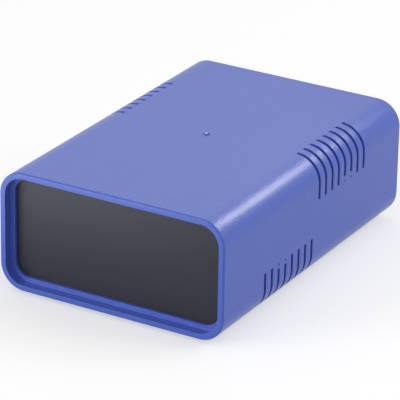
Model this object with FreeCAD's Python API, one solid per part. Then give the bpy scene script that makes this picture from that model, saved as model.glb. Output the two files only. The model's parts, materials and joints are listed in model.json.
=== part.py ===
import FreeCAD, Part
import math
import os

# Passive direct injection box in a moulded plastic instrument case.
#
# The case is two half shells from one moulding: the lower one is the upper one turned over
# about the left-right axis. A blank panel stands in the front grooves, and the rear panel
# carries two jack sockets, two latching push switches and a male XLR output. A circuit board
# on pillars holds the transformer, the resistors and the connectors.
#
# Millimetres. X runs across the case, -Y is the front, +Z is up. Everything is built about
# the middle of the case and lifted at the end, so that the feet stand at Z = 0 and the
# origin is under the middle of the case.

# Case, outside
CASE_W = 95.0
CASE_D = 137.0
CASE_H = 47.4
CORNER_R = 10.0
END_EDGE_R = 0.8
WALL = 2.2

# Ends of the case: each step is a depth from the end and the inset of the wall there
LIP_T = 2.4
LIP_DEPTH = 3.9
FRAME_INSET = 4.1
FRAME_T = 1.5
GROOVE_W = 2.3
RIB_INSET = 3.6
RIB_T = 1.2

# Vent slots round the corners
SLOT_COUNT = 8
SLOT_FIRST = 30.6
SLOT_PITCH = 5.06
SLOT_W = 1.4
SLOT_EDGE = 0.2
SLOT_END_Z = 7.25
SHORT_SLOTS = (2, 3)
SHORT_SLOT_END_Z = 9.3
PINHOLE_R = 0.4
PINHOLE_Z = 7.5

# Gate mark of the moulding
GATE_R = 1.5
GATE_DEPTH = 0.4
GATE_NUB_R = 0.55
GATE_NUB_RISE = 0.7
GATE_NUB_ROOT = 0.2

# Tongue and groove of the parting faces
TONGUE_T = 0.8
TONGUE_H = 1.0
TONGUE_START = 4.0
TONGUE_END = 55.0
TONGUE_CLEARANCE = 0.1
TONGUE_SHIFT = 0.25

# Posts and case screws
POST_X = 33.0
POST_Y = 25.3
POST_R = 4.6
HEAD_LEDGE_Z = -8.0
COUNTERBORE_R = 3.3
SCREW_R = 1.5
SCREW_HEAD_R = 3.0
SCREW_HEAD_H = 2.2
SCREW_LEN = 16.0
SCREW_CLEARANCE_R = 1.7
PILOT_GAP = 0.02
PILOT_SPARE = 1.5
HEAD_ROUNDING = 0.6
RECESS_WIDTH = 0.56
RECESS_REACH = 1.24
RECESS_DEPTH = 0.45

# Feet
FOOT_R = 5.0
FOOT_T = 2.0
FOOT_SEAT = 0.5
FOOT_SEAT_GAP = 0.1
FOOT_EDGE = 0.4
FOOT_X = 31.0
FOOT_Y = 56.0

# Panels
PANEL_T = 2.0
PANEL_GAP = 0.25

# Circuit board
BOARD_TOP = -12.0
BOARD_T = 1.6
BOARD_W = 82.0
BOARD_FRONT = -18.0
BOARD_REAR = 57.0
BOARD_CORNER_R = 1.5
BOARD_SCREW_GAP = 0.2
PIN_TAIL = 1.2
PIN_HOLE_GAP = 0.25
POST_HOLE_R = 5.2
BOARD_SCREW_X = 37.0
BOARD_SCREW_YS = (-14.0, 15.0)
PILLAR_R = 3.0
BOARD_SCREW_R = 1.2
BOARD_SCREW_LEN = 7.0
BOARD_SCREW_HEAD_R = 2.4
BOARD_SCREW_HEAD_H = 1.5

# Jack sockets, 6.35 mm plugs
JACK_XS = {"input_jack": 33.0, "link_jack": 14.2}
JACK_BORE_R = 3.25
JACK_BUSH_R = 4.7
JACK_HOLE_R = 4.9
JACK_W = 16.0
JACK_H = 20.0
JACK_LEN = 27.5
JACK_NOSE = 3.8
JACK_SOCKET_DEPTH = 4.0
JACK_WALL = 1.6
JACK_BUSH_EDGE = 0.4
JACK_THREAD_GAP = 0.05
JACK_NUT_FLATS = 13.0
JACK_NUT_T = 2.2
JACK_WASHER_R = 7.4
JACK_WASHER_T = 0.6

# The jack's contact springs, seen from above: across from the middle of the jack, and along Y
LEAF_T = 0.4
LEAF_H = 4.0
LEAF_TAIL_W = 1.2
LEAF_SLOT = (0.6, 1.4)
LEAF_HOLE_R = 0.75
TIP_LEAF = ((-5.8, 52.0), (-5.8, 47.0), (-3.5, 40.6), (-5.0, 37.6))
TIP_TAIL = (-6.0, 50.6)
SLEEVE_LEAF = ((5.8, 43.0), (5.8, 48.0), (3.5, 53.0), (5.0, 55.5))
SLEEVE_TAIL = (6.0, 44.0)

# Latching push switches
SWITCH_XS = {"ground_lift": -9.3, "pad": 0.9}
SWITCH_W = 8.4
SWITCH_FRONT = 44.5
SWITCH_REAR = 56.5
PLUNGER_R = 1.5
PLUNGER_FRONT = 53.0
PLUNGER_ROOM = 4.0
SWITCH_BORE_GAP = 0.06
TERMINAL_R = 0.35
TERMINAL_DX = 2.5
TERMINAL_YS = (47.0, 50.0, 53.0)
BUTTON_R = 3.2
BUTTON_HOLE_R = 3.55
BUTTON_INNER = 61.6
BUTTON_LEN = 6.0
BUTTON_BORE_DEPTH = 3.5
BUTTON_EDGE = 0.5
SPRING_WIRE_R = 0.18
SPRING_R = 2.15
SPRING_TURNS = 3
SPRING_GAP = 0.02

# Male XLR output
XLR_X = -28.0
XLR_FLANGE_W = 26.0
XLR_FLANGE_H = 31.0
XLR_FLANGE_R = 4.0
XLR_FLANGE_T = 2.0
XLR_RING_R = 11.0
XLR_RING_T = 1.2
XLR_BODY_R = 11.6
XLR_CUTOUT_R = 12.0
XLR_CAVITY_R = 8.2
XLR_CAVITY_DEPTH = 15.3
XLR_INSERT_R = 9.6
XLR_INSERT_T = 4.5
XLR_PIN_R = 1.2
XLR_PIN_CIRCLE = 3.8
XLR_PIN_RECESS = 2.4
XLR_PIN_STUB = 2.2
XLR_LEG_R = 0.5
XLR_LEG_BACK = 1.2
XLR_NOTCH_W = 5.0
XLR_NOTCH = (2.5, 6.5)
XLR_NOTCH_DEPTH = 0.9
XLR_KEY_W = 2.2
XLR_KEY_H = 0.9
XLR_KEY_RECESS = 2.0
XLR_SCREW_DX = 9.5
XLR_SCREW_DZ = 12.0
PANEL_SCREW_R = 1.5
PANEL_SCREW_HOLE_R = 1.6
PANEL_SCREW_HEAD_R = 2.75
PANEL_SCREW_HEAD_H = 1.6
PANEL_SCREW_LEN = 7.0
PANEL_NUT_FLATS = 5.5
PANEL_NUT_T = 2.4

# Transformer
CAN_Y = 6.0
CAN_SIDE = 28.0
CAN_H = 23.0
CAN_R = 3.0
CAN_WALL = 0.8
CAN_EDGE = 1.2
BASE_SIDE = 26.0
BASE_R = 2.0
BASE_T = 3.0
CORE_W = 24.0
CORE_D = 9.0
CORE_H = 18.0
CORE_LIFT = 0.6
LEG_HALF = 3.2
WINDOW_OUTER = 8.8
YOKE_T = 3.2
BOBBIN_WALL = 0.7
BOBBIN_D = 21.0
BOBBIN_GAP = 0.1
WINDING_GAP = 0.4
WINDING_R = 2.0
CAN_PIN_R = 0.4
CAN_PIN_DX = 10.0
CAN_PIN_DYS = (-9.0, -3.0, 3.0, 9.0)

# Small parts
RESISTOR_X = -27.0
RESISTOR_YS = (-10.0, -5.0, 0.0, 5.0, 10.0)
RESISTOR_R = 1.15
RESISTOR_LEN = 6.3
RESISTOR_SPAN = 10.2
RESISTOR_EDGE = 0.4
RESISTOR_LIFT = 0.2
LEAD_R = 0.3
CAPACITOR_X = 27.0
CAPACITOR_Y = 0.0
CAPACITOR_W = 10.0
CAPACITOR_D = 5.0
CAPACITOR_H = 9.0
CAPACITOR_SPAN = 7.5
CAPACITOR_LIFT = 0.3
CAPACITOR_EDGE = 0.5

# Worked out
HALF_W = CASE_W / 2
HALF_D = CASE_D / 2
HALF_H = CASE_H / 2
ROOF = HALF_H - WALL
PANEL_OUT = HALF_D - LIP_DEPTH - FRAME_T
PANEL_IN = PANEL_OUT - PANEL_T
BOARD_BOTTOM = BOARD_TOP - BOARD_T
PIN_END = BOARD_BOTTOM - PIN_TAIL
SWITCH_Z = BOARD_TOP + SWITCH_W / 2
XLR_FACE = PANEL_OUT + XLR_FLANGE_T + XLR_RING_T
XLR_FLOOR = XLR_FACE - XLR_CAVITY_DEPTH
XLR_REAR = XLR_FLOOR - XLR_INSERT_T
CAN_BASE_TOP = BOARD_TOP + BASE_T
LIFT = HALF_H - FOOT_SEAT + FOOT_T

PARTS = "parts"
X_AXIS = FreeCAD.Vector(1, 0, 0)
Y_AXIS = FreeCAD.Vector(0, 1, 0)
Z_AXIS = FreeCAD.Vector(0, 0, 1)


def vec(x, y, z):
    return FreeCAD.Vector(x, y, z)


def block(x0, x1, y0, y1, z0, z1):
    return Part.makeBox(x1 - x0, y1 - y0, z1 - z0, vec(x0, y0, z0))


def rod(radius, start, length, axis=Y_AXIS):
    return Part.makeCylinder(radius, length, start, axis)


def prism(width, height, radius, y0, y1, x=0.0, z=0.0):
    """A bar along Y whose section is a rectangle with round corners."""
    bar = block(x - width / 2, x + width / 2, y0, y1, z - height / 2, z + height / 2)
    edges = [e for e in bar.Edges if abs(e.tangentAt(e.FirstParameter).y) > 0.5]
    return bar.makeFillet(radius, edges)


def hexagon(flats, y0, y1, x, z):
    """A bar along Y whose section is a hexagon of the given size across flats."""
    reach = flats / math.sqrt(3)
    angles = [math.radians(60 * i) for i in range(7)]
    corners = [vec(x + reach * math.cos(a), y0, z + reach * math.sin(a)) for a in angles]
    return Part.Face(Part.makePolygon(corners)).extrude(vec(0, y1 - y0, 0))


def fuse(shapes):
    return shapes[0].multiFuse(shapes[1:]).removeSplitter()


def both_sides(shape):
    """The shape and its mirror image across the middle of the case."""
    return [shape, shape.mirror(vec(0, 0, 0), X_AXIS)]


# Case


def case_bar():
    """The outside of the whole case, with its end edges rounded."""
    bar = prism(CASE_W, CASE_H, CORNER_R, -HALF_D, HALF_D)
    edges = [e for e in bar.Edges if abs(abs(e.CenterOfMass.y) - HALF_D) < 1e-6]
    return bar.makeFillet(END_EDGE_R, edges)


def hollow():
    """The inside of the case: the lips, retaining frames, panel grooves and ribs of both ends."""
    steps = [
        (LIP_DEPTH, LIP_T),
        (FRAME_T, FRAME_INSET),
        (GROOVE_W, WALL),
        (RIB_T, RIB_INSET),
        (HALF_D - LIP_DEPTH - FRAME_T - GROOVE_W - RIB_T, WALL),
    ]
    bars = []
    y = -HALF_D
    for depth, inset in steps:
        size = (CASE_W - 2 * inset, CASE_H - 2 * inset, CORNER_R - inset)
        bars.append(prism(*size, y, y + depth))
        bars.append(prism(*size, -y - depth, -y))
        y += depth
    return fuse(bars)


def slot_cutter(y, end_z):
    """One vent slot of the right-hand upper corner, with broken outer edges."""
    cx = HALF_W - CORNER_R
    cz = HALF_H - CORNER_R
    half = SLOT_W / 2
    inner = CORNER_R - WALL - 1.0
    flare = CORNER_R - SLOT_EDGE
    outer = CORNER_R + 1.0
    wide = half + outer - flare
    side = [(half, inner), (half, flare), (wide, outer)]
    profile = side + [(-dy, reach) for dy, reach in reversed(side)] + side[:1]
    points = [vec(cx, y + dy, cz + reach) for dy, reach in profile]
    face = Part.Face(Part.makePolygon(points))
    bend = face.revolve(vec(cx, y, cz), Y_AXIS, 90)
    face.rotate(vec(cx, y, cz), Y_AXIS, 90)
    return bend.fuse(face.extrude(vec(0, 0, end_z - cz)))


def vent_cutters():
    """Both corners' slots at the rear of the upper shell, and the pinholes under the short ones."""
    cutters = []
    for i in range(SLOT_COUNT):
        y = HALF_D - SLOT_FIRST - i * SLOT_PITCH
        cutters += both_sides(slot_cutter(y, SHORT_SLOT_END_Z if i in SHORT_SLOTS else SLOT_END_Z))
        if i in SHORT_SLOTS:
            pinhole = rod(PINHOLE_R, vec(HALF_W - WALL - 1, y, PINHOLE_Z), WALL + 2, X_AXIS)
            cutters += both_sides(pinhole)
    return cutters


def gate_dimple():
    return rod(GATE_R, vec(0, 0, HALF_H - GATE_DEPTH), 1.0, Z_AXIS)


def gate_nub():
    """The stub of the cut-off gate, which stands in the middle of its dimple."""
    foot = HALF_H - GATE_DEPTH - GATE_NUB_ROOT
    return rod(GATE_NUB_R, vec(0, 0, foot), HALF_H + GATE_NUB_RISE - foot, Z_AXIS)


def tongue(gap):
    """The strip that stands down from the right wall's parting face, grown by a gap."""
    mid = HALF_W - WALL / 2 - TONGUE_SHIFT
    half = TONGUE_T / 2 + gap
    y0 = -TONGUE_END - gap
    y1 = -TONGUE_START + gap
    return block(mid - half, mid + half, y0, y1, -TONGUE_H - gap, 0)


def half_shell():
    """The moulding that both halves share, in the place of the upper one."""
    upper_half = block(-HALF_W, HALF_W, -HALF_D, HALF_D, 0, HALF_H)
    shell = case_bar().common(upper_half).cut(hollow())
    posts = [rod(POST_R, vec(x, y, 0), ROOF, Z_AXIS) for x, y in post_places()]
    shell = shell.fuse(posts + both_sides(tongue(0)))
    grooves = both_sides(tongue(TONGUE_CLEARANCE).rotate(vec(0, 0, 0), X_AXIS, 180))
    shell = shell.cut(vent_cutters() + grooves + [gate_dimple()])
    return shell.fuse(gate_nub()).removeSplitter()


def post_places():
    return [(x, y) for x in (-POST_X, POST_X) for y in (-POST_Y, POST_Y)]


def pillar_places():
    return [(x, y) for x in (-BOARD_SCREW_X, BOARD_SCREW_X) for y in BOARD_SCREW_YS]


def foot_places():
    return [(x, y) for x in (-FOOT_X, FOOT_X) for y in (-FOOT_Y, FOOT_Y)]


def upper_shell():
    """The common moulding with a pilot hole in each post."""
    depth = SCREW_LEN + HEAD_LEDGE_Z + PILOT_SPARE
    pilots = [rod(SCREW_R + PILOT_GAP, vec(x, y, 0), depth, Z_AXIS) for x, y in post_places()]
    return half_shell().cut(pilots)


def lower_shell():
    """The common moulding turned over, with screw wells, board pillars and foot seats."""
    shell = half_shell()
    shell.rotate(vec(0, 0, 0), X_AXIS, 180)
    pillar_h = BOARD_BOTTOM + ROOF
    pillars = [rod(PILLAR_R, vec(x, y, -ROOF), pillar_h, Z_AXIS) for x, y in pillar_places()]
    wells = []
    for x, y in post_places():
        wells.append(rod(COUNTERBORE_R, vec(x, y, -HALF_H), HALF_H + HEAD_LEDGE_Z, Z_AXIS))
        wells.append(rod(SCREW_CLEARANCE_R, vec(x, y, -HALF_H), HALF_H, Z_AXIS))
    for x, y in pillar_places():
        wells.append(rod(BOARD_SCREW_R + PILOT_GAP, vec(x, y, -ROOF), pillar_h, Z_AXIS))
    for x, y in foot_places():
        wells.append(rod(FOOT_R + FOOT_SEAT_GAP, vec(x, y, -HALF_H), FOOT_SEAT, Z_AXIS))
    return shell.fuse(pillars).cut(wells).removeSplitter()


def cross_recess(radius, depth, start, axis):
    """A cross-shaped tool that sinks a driver recess into a screw head."""
    half = radius * RECESS_WIDTH / 2
    reach = radius * RECESS_REACH / 2
    bar = block(-half, half, -reach, reach, 0, depth)
    cross = bar.fuse(bar.copy().rotate(vec(0, 0, 0), Z_AXIS, 90))
    cross.Placement = FreeCAD.Placement(start, FreeCAD.Rotation(Z_AXIS, axis))
    return cross


def screw(place, axis, shank_r, length, head_r, head_h):
    """A pan head screw: place is under the head, axis points from the tip to the head."""
    away = FreeCAD.Vector(-axis.x, -axis.y, -axis.z)
    head = rod(head_r, place, head_h, axis)
    rim = [e for e in head.Edges if e.Closed and (e.CenterOfMass - place).dot(axis) > head_h / 2]
    head = head.makeFillet(head_h * HEAD_ROUNDING, rim)
    body = head.fuse(rod(shank_r, place, length, away)).removeSplitter()
    top = place + axis * (head_h * (1 - RECESS_DEPTH))
    return body.cut(cross_recess(head_r, head_h, top, axis))


def case_screws():
    shape = (SCREW_R, SCREW_LEN, SCREW_HEAD_R, SCREW_HEAD_H)
    return [screw(vec(x, y, HEAD_LEDGE_Z), vec(0, 0, -1), *shape) for x, y in post_places()]


def rubber_feet():
    feet = []
    for x, y in foot_places():
        foot = rod(FOOT_R, vec(x, y, -HALF_H + FOOT_SEAT - FOOT_T), FOOT_T, Z_AXIS)
        low = [e for e in foot.Edges if e.Closed and e.CenterOfMass.z < -HALF_H]
        feet.append(foot.makeFillet(FOOT_EDGE, low))
    return feet


def panel(inner_y):
    width = CASE_W - 2 * (WALL + PANEL_GAP)
    height = CASE_H - 2 * (WALL + PANEL_GAP)
    return prism(width, height, CORNER_R - WALL - PANEL_GAP, inner_y, inner_y + PANEL_T)


def rear_panel():
    """The rear panel with its cut-outs for the connectors and buttons."""
    y = PANEL_IN - 1
    through = PANEL_T + 2
    holes = [rod(JACK_HOLE_R, vec(x, y, 0), through) for x in JACK_XS.values()]
    holes += [rod(BUTTON_HOLE_R, vec(x, y, SWITCH_Z), through) for x in SWITCH_XS.values()]
    holes.append(rod(XLR_CUTOUT_R, vec(XLR_X, y, 0), through))
    holes += [rod(PANEL_SCREW_HOLE_R, vec(x, y, z), through) for x, z in xlr_screw_places()]
    return panel(PANEL_IN).cut(holes)


# Connectors


def jack(x):
    """The pieces of one jack socket, by the end of the node's name, and its contact tails."""
    front = PANEL_IN - JACK_LEN
    body = block(x - JACK_W / 2, x + JACK_W / 2, front, PANEL_IN, BOARD_TOP, BOARD_TOP + JACK_H)
    socket = PANEL_IN - JACK_SOCKET_DEPTH
    room = block(
        x - JACK_W / 2 + JACK_WALL,
        x + JACK_W / 2 - JACK_WALL,
        front + JACK_WALL,
        socket,
        BOARD_TOP + JACK_WALL,
        BOARD_TOP + JACK_H - JACK_WALL,
    )
    tails = [(x + dx, y) for dx, y in (TIP_TAIL, SLEEVE_TAIL)]
    slot_x, slot_y = LEAF_SLOT[0] / 2, LEAF_SLOT[1] / 2
    slots = [block(tx - slot_x, tx + slot_x, ty - slot_y, ty + slot_y, BOARD_TOP, 0) for tx, ty in tails]
    body = body.cut([room, rod(JACK_BUSH_R, vec(x, socket, 0), JACK_SOCKET_DEPTH)] + slots)

    nose_end = PANEL_OUT + JACK_NOSE
    bush = rod(JACK_BUSH_R, vec(x, socket, 0), nose_end - socket)
    bush = bush.cut(rod(JACK_BORE_R, vec(x, socket, 0), nose_end - socket))
    mouth = [e for e in bush.Edges if e.Closed and abs(e.CenterOfMass.y - nose_end) < 1e-6]
    bush = bush.makeChamfer(JACK_BUSH_EDGE, mouth)

    washer = rod(JACK_WASHER_R, vec(x, PANEL_OUT, 0), JACK_WASHER_T)
    washer = washer.cut(rod(JACK_HOLE_R, vec(x, PANEL_OUT, 0), JACK_WASHER_T))
    nut_y = PANEL_OUT + JACK_WASHER_T
    nut = hexagon(JACK_NUT_FLATS, nut_y, nut_y + JACK_NUT_T, x, 0)
    cone_r = JACK_NUT_FLATS / 2 + JACK_NUT_T
    nut = nut.common(Part.makeCone(cone_r, JACK_NUT_FLATS / 2, JACK_NUT_T, vec(x, nut_y, 0), Y_AXIS))
    nut = nut.cut(rod(JACK_BUSH_R + JACK_THREAD_GAP, vec(x, nut_y, 0), JACK_NUT_T))

    contacts = [leaf(x, TIP_LEAF, tails[0], -LEAF_T), leaf(x, SLEEVE_LEAF, tails[1], LEAF_T)]
    pieces = {"body": body, "bush": bush, "washer": washer, "nut": nut, "contacts": contacts}
    return pieces, [(tx, ty, LEAF_HOLE_R) for tx, ty in tails]


def leaf(x, path, tail, thickness):
    """A bent contact spring along a path seen from above, with a tail down through the board."""
    inner = [vec(x + dx, y, -LEAF_H / 2) for dx, y in path]
    outer = [vec(x + dx + thickness, y, -LEAF_H / 2) for dx, y in reversed(path)]
    strip = Part.Face(Part.makePolygon(inner + outer + inner[:1])).extrude(vec(0, 0, LEAF_H))
    tx, ty = tail
    half = LEAF_TAIL_W / 2
    foot = block(tx - LEAF_T / 2, tx + LEAF_T / 2, ty - half, ty + half, PIN_END, 0)
    return strip.fuse(foot).removeSplitter()


def xlr_screw_places():
    return [(XLR_X - XLR_SCREW_DX, XLR_SCREW_DZ), (XLR_X + XLR_SCREW_DX, -XLR_SCREW_DZ)]


def xlr_pin_places():
    c = XLR_PIN_CIRCLE
    return [(XLR_X - c, 0.0), (XLR_X + c, 0.0), (XLR_X, -c)]


def xlr_housing():
    """The flange and cup of the XLR, with its key rib and the notch for a latch."""
    flange_end = PANEL_OUT + XLR_FLANGE_T
    solids = [
        prism(XLR_FLANGE_W, XLR_FLANGE_H, XLR_FLANGE_R, PANEL_OUT, flange_end, XLR_X),
        rod(XLR_RING_R, vec(XLR_X, flange_end, 0), XLR_RING_T),
        rod(XLR_BODY_R, vec(XLR_X, XLR_REAR, 0), PANEL_OUT - XLR_REAR),
    ]
    wall = XLR_CAVITY_R
    notch = (XLR_FACE - XLR_NOTCH[1], XLR_FACE - XLR_NOTCH[0], wall - 1, wall + XLR_NOTCH_DEPTH)
    cuts = [
        rod(XLR_CAVITY_R, vec(XLR_X, XLR_FLOOR, 0), XLR_CAVITY_DEPTH),
        rod(XLR_INSERT_R, vec(XLR_X, XLR_REAR, 0), XLR_INSERT_T),
        block(XLR_X - XLR_NOTCH_W / 2, XLR_X + XLR_NOTCH_W / 2, *notch),
    ]
    cuts += [rod(PANEL_SCREW_HOLE_R, vec(x, PANEL_OUT, z), XLR_FLANGE_T) for x, z in xlr_screw_places()]
    rib = (XLR_FLOOR, XLR_FACE - XLR_KEY_RECESS, -wall - 0.5, -wall + XLR_KEY_H)
    key = block(XLR_X - XLR_KEY_W / 2, XLR_X + XLR_KEY_W / 2, *rib)
    return fuse(solids).cut(cuts).fuse(key).removeSplitter()


def xlr_insert():
    disc = rod(XLR_INSERT_R, vec(XLR_X, XLR_REAR, 0), XLR_INSERT_T)
    return disc.cut([rod(XLR_PIN_R, vec(x, XLR_REAR, z), XLR_INSERT_T) for x, z in xlr_pin_places()])


def xlr_pins():
    """The three contact pins, each with a thinner leg down to the board behind the insert."""
    start = XLR_REAR - XLR_PIN_STUB
    tip = XLR_FACE - XLR_PIN_RECESS
    leg_y = XLR_REAR - XLR_LEG_BACK
    pins = []
    for x, z in xlr_pin_places():
        pin = rod(XLR_PIN_R, vec(x, start, z), tip - XLR_PIN_R - start)
        dome = Part.makeSphere(XLR_PIN_R, vec(x, tip - XLR_PIN_R, z))
        leg = rod(XLR_LEG_R, vec(x, leg_y, PIN_END), z - PIN_END, Z_AXIS)
        pins.append(fuse([pin, dome, leg]))
    return pins, [(x, leg_y, XLR_LEG_R) for x, _ in xlr_pin_places()]


def xlr_screws():
    y = PANEL_OUT + XLR_FLANGE_T
    shape = (PANEL_SCREW_R, PANEL_SCREW_LEN, PANEL_SCREW_HEAD_R, PANEL_SCREW_HEAD_H)
    return [screw(vec(x, y, z), Y_AXIS, *shape) for x, z in xlr_screw_places()]


def xlr_nuts():
    nuts = []
    for x, z in xlr_screw_places():
        nut = hexagon(PANEL_NUT_FLATS, PANEL_IN - PANEL_NUT_T, PANEL_IN, x, z)
        hole = rod(PANEL_SCREW_R + PILOT_GAP, vec(x, PANEL_IN - PANEL_NUT_T, z), PANEL_NUT_T)
        nuts.append(nut.cut(hole))
    return nuts


# Switches


def push_switch(x):
    """The pieces of one latching push switch and its terminal places."""
    half = SWITCH_W / 2
    body = block(x - half, x + half, SWITCH_FRONT, SWITCH_REAR, SWITCH_Z - half, SWITCH_Z + half)
    bore_y = PLUNGER_FRONT - PLUNGER_ROOM
    bore = rod(PLUNGER_R + SWITCH_BORE_GAP, vec(x, bore_y, SWITCH_Z), SWITCH_REAR - bore_y)
    bore_end = BUTTON_INNER + BUTTON_BORE_DEPTH
    plunger = rod(PLUNGER_R, vec(x, PLUNGER_FRONT, SWITCH_Z), bore_end - PLUNGER_FRONT)
    button = rod(BUTTON_R, vec(x, BUTTON_INNER, SWITCH_Z), BUTTON_LEN)
    rim = [e for e in button.Edges if e.Closed and e.CenterOfMass.y > BUTTON_INNER + BUTTON_LEN / 2]
    button = button.makeFillet(BUTTON_EDGE, rim)
    button = button.cut(rod(PLUNGER_R, vec(x, BUTTON_INNER, SWITCH_Z), BUTTON_BORE_DEPTH))
    terminals = [(x + dx, y, TERMINAL_R) for dx in (-TERMINAL_DX, TERMINAL_DX) for y in TERMINAL_YS]
    pieces = {
        "switch_body": body.cut(bore),
        "plunger": plunger,
        "button": button,
        "spring": return_spring(x),
    }
    return pieces, terminals


def return_spring(x):
    """A coil spring round the plunger, from the switch body to the button."""
    gap = SPRING_WIRE_R + SPRING_GAP
    start = SWITCH_REAR + gap
    height = BUTTON_INNER - gap - start
    path = Part.makeHelix(height / SPRING_TURNS, height, SPRING_R)
    wire = Part.Wire(Part.makeCircle(SPRING_WIRE_R, vec(SPRING_R, 0, 0), Y_AXIS))
    coil = Part.Wire(path).makePipeShell([wire], True, True)
    coil.rotate(vec(0, 0, 0), X_AXIS, -90)
    coil.translate(vec(x, start, SWITCH_Z))
    return coil


# Board and what stands on it


def transformer():
    """The pieces of the screened audio transformer, and its pin places."""
    top = BOARD_TOP + CAN_H
    can = upright(CAN_SIDE, CAN_R, BOARD_TOP, top)
    room = upright(CAN_SIDE - 2 * CAN_WALL, CAN_R - CAN_WALL, BOARD_TOP, top - CAN_WALL)
    rim = [e for e in can.Edges if abs(e.CenterOfMass.z - top) < 1e-6]
    can = can.makeFillet(CAN_EDGE, rim).cut(room)
    base = upright(BASE_SIDE, BASE_R, BOARD_TOP, CAN_BASE_TOP)

    core_z0 = CAN_BASE_TOP + CORE_LIFT
    core_z1 = core_z0 + CORE_H
    window = (core_z0 + YOKE_T, core_z1 - YOKE_T)
    core = block(-CORE_W / 2, CORE_W / 2, CAN_Y - CORE_D / 2, CAN_Y + CORE_D / 2, core_z0, core_z1)
    hole = block(LEG_HALF, WINDOW_OUTER, CAN_Y - CORE_D, CAN_Y + CORE_D, *window)
    core = core.cut(both_sides(hole))

    z0 = window[0] + BOBBIN_GAP
    z1 = window[1] - BOBBIN_GAP
    wide = WINDOW_OUTER - 2 * BOBBIN_GAP
    leg_x = LEG_HALF + BOBBIN_GAP
    leg_y = CORE_D / 2 + BOBBIN_GAP
    tube = (leg_x + BOBBIN_WALL, leg_y + BOBBIN_WALL)
    bobbin = fuse([
        around(wide, BOBBIN_D / 2, z0, z0 + BOBBIN_WALL),
        around(wide, BOBBIN_D / 2, z1 - BOBBIN_WALL, z1),
        around(*tube, z0, z1),
    ]).cut(around(leg_x, leg_y, z0, z1))
    coil = (z0 + BOBBIN_WALL, z1 - BOBBIN_WALL)
    winding = around(wide - WINDING_GAP, BOBBIN_D / 2 - WINDING_GAP, *coil)
    corners = [e for e in winding.Edges if abs(e.tangentAt(e.FirstParameter).z) > 0.5]
    winding = winding.makeFillet(WINDING_R, corners).cut(around(*tube, *coil))

    places = [(dx, CAN_Y + dy, CAN_PIN_R) for dx in (-CAN_PIN_DX, CAN_PIN_DX) for dy in CAN_PIN_DYS]
    pins = [rod(r, vec(px, py, PIN_END), CAN_BASE_TOP - PIN_END, Z_AXIS) for px, py, r in places]
    base = base.cut([rod(r, vec(px, py, BOARD_TOP), BASE_T, Z_AXIS) for px, py, r in places])
    pieces = {"can": can, "base": base, "core": core, "bobbin": bobbin, "winding": winding, "pins": pins}
    return pieces, places


def upright(side, radius, z0, z1):
    """A square bar along Z, centred on the transformer, with round corners."""
    bar = around(side / 2, side / 2, z0, z1)
    return bar.makeFillet(radius, [e for e in bar.Edges if abs(e.tangentAt(e.FirstParameter).z) > 0.5])


def around(half_x, half_y, z0, z1):
    """A block centred on the transformer."""
    return block(-half_x, half_x, CAN_Y - half_y, CAN_Y + half_y, z0, z1)


def resistors():
    """Axial resistors lying on the board: bodies, leads and lead places."""
    z = BOARD_TOP + RESISTOR_R + RESISTOR_LIFT
    bodies, leads, places = [], [], []
    for y in RESISTOR_YS:
        start = RESISTOR_X - RESISTOR_LEN / 2
        body = rod(RESISTOR_R, vec(start, y, z), RESISTOR_LEN, X_AXIS)
        bodies.append(body.makeFillet(RESISTOR_EDGE, [e for e in body.Edges if e.Closed]))
        for side in (-1, 1):
            foot_x = RESISTOR_X + side * RESISTOR_SPAN / 2
            end_x = RESISTOR_X + side * RESISTOR_LEN / 2
            along = rod(LEAD_R, vec(min(foot_x, end_x), y, z), abs(foot_x - end_x), X_AXIS)
            elbow = Part.makeSphere(LEAD_R, vec(foot_x, y, z))
            down = rod(LEAD_R, vec(foot_x, y, PIN_END), z - PIN_END, Z_AXIS)
            leads.append(fuse([along, elbow, down]))
            places.append((foot_x, y, LEAD_R))
    return bodies, leads, places


def capacitor():
    """The box film capacitor of the ground lift: body, leads and lead places."""
    x0 = CAPACITOR_X - CAPACITOR_W / 2
    y0 = CAPACITOR_Y - CAPACITOR_D / 2
    z0 = BOARD_TOP + CAPACITOR_LIFT
    body = Part.makeBox(CAPACITOR_W, CAPACITOR_D, CAPACITOR_H, vec(x0, y0, z0))
    body = body.makeFillet(CAPACITOR_EDGE, body.Edges)
    places = [(CAPACITOR_X + side * CAPACITOR_SPAN / 2, CAPACITOR_Y, LEAD_R) for side in (-1, 1)]
    leads = [rod(r, vec(x, y, PIN_END), z0 - PIN_END, Z_AXIS) for x, y, r in places]
    return body, leads, places


def circuit_board(pin_places):
    """The board with clearance for the posts, screw holes and a hole for every pin."""
    board = block(-BOARD_W / 2, BOARD_W / 2, BOARD_FRONT, BOARD_REAR, BOARD_BOTTOM, BOARD_TOP)
    corners = [e for e in board.Edges if abs(e.tangentAt(e.FirstParameter).z) > 0.5]
    board = board.makeFillet(BOARD_CORNER_R, corners)
    holes = [(x, y, POST_HOLE_R) for x, y in post_places() if y > 0]
    holes += [(x, y, BOARD_SCREW_R + BOARD_SCREW_GAP) for x, y in pillar_places()]
    holes += [(x, y, r + PIN_HOLE_GAP) for x, y, r in pin_places]
    return board.cut([rod(r, vec(x, y, BOARD_BOTTOM), BOARD_T, Z_AXIS) for x, y, r in holes])


def board_screws():
    shape = (BOARD_SCREW_R, BOARD_SCREW_LEN, BOARD_SCREW_HEAD_R, BOARD_SCREW_HEAD_H)
    return [screw(vec(x, y, BOARD_TOP), Z_AXIS, *shape) for x, y in pillar_places()]


def save(name, shape):
    """Writes one node, lifted so that the feet stand at Z = 0. A list is a group of solids."""
    solid = Part.makeCompound(shape) if isinstance(shape, list) else shape
    solid = solid.copy()
    solid.translate(vec(0, 0, LIFT))
    solid.exportStep(os.path.join(PARTS, name + ".step"))


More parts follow.
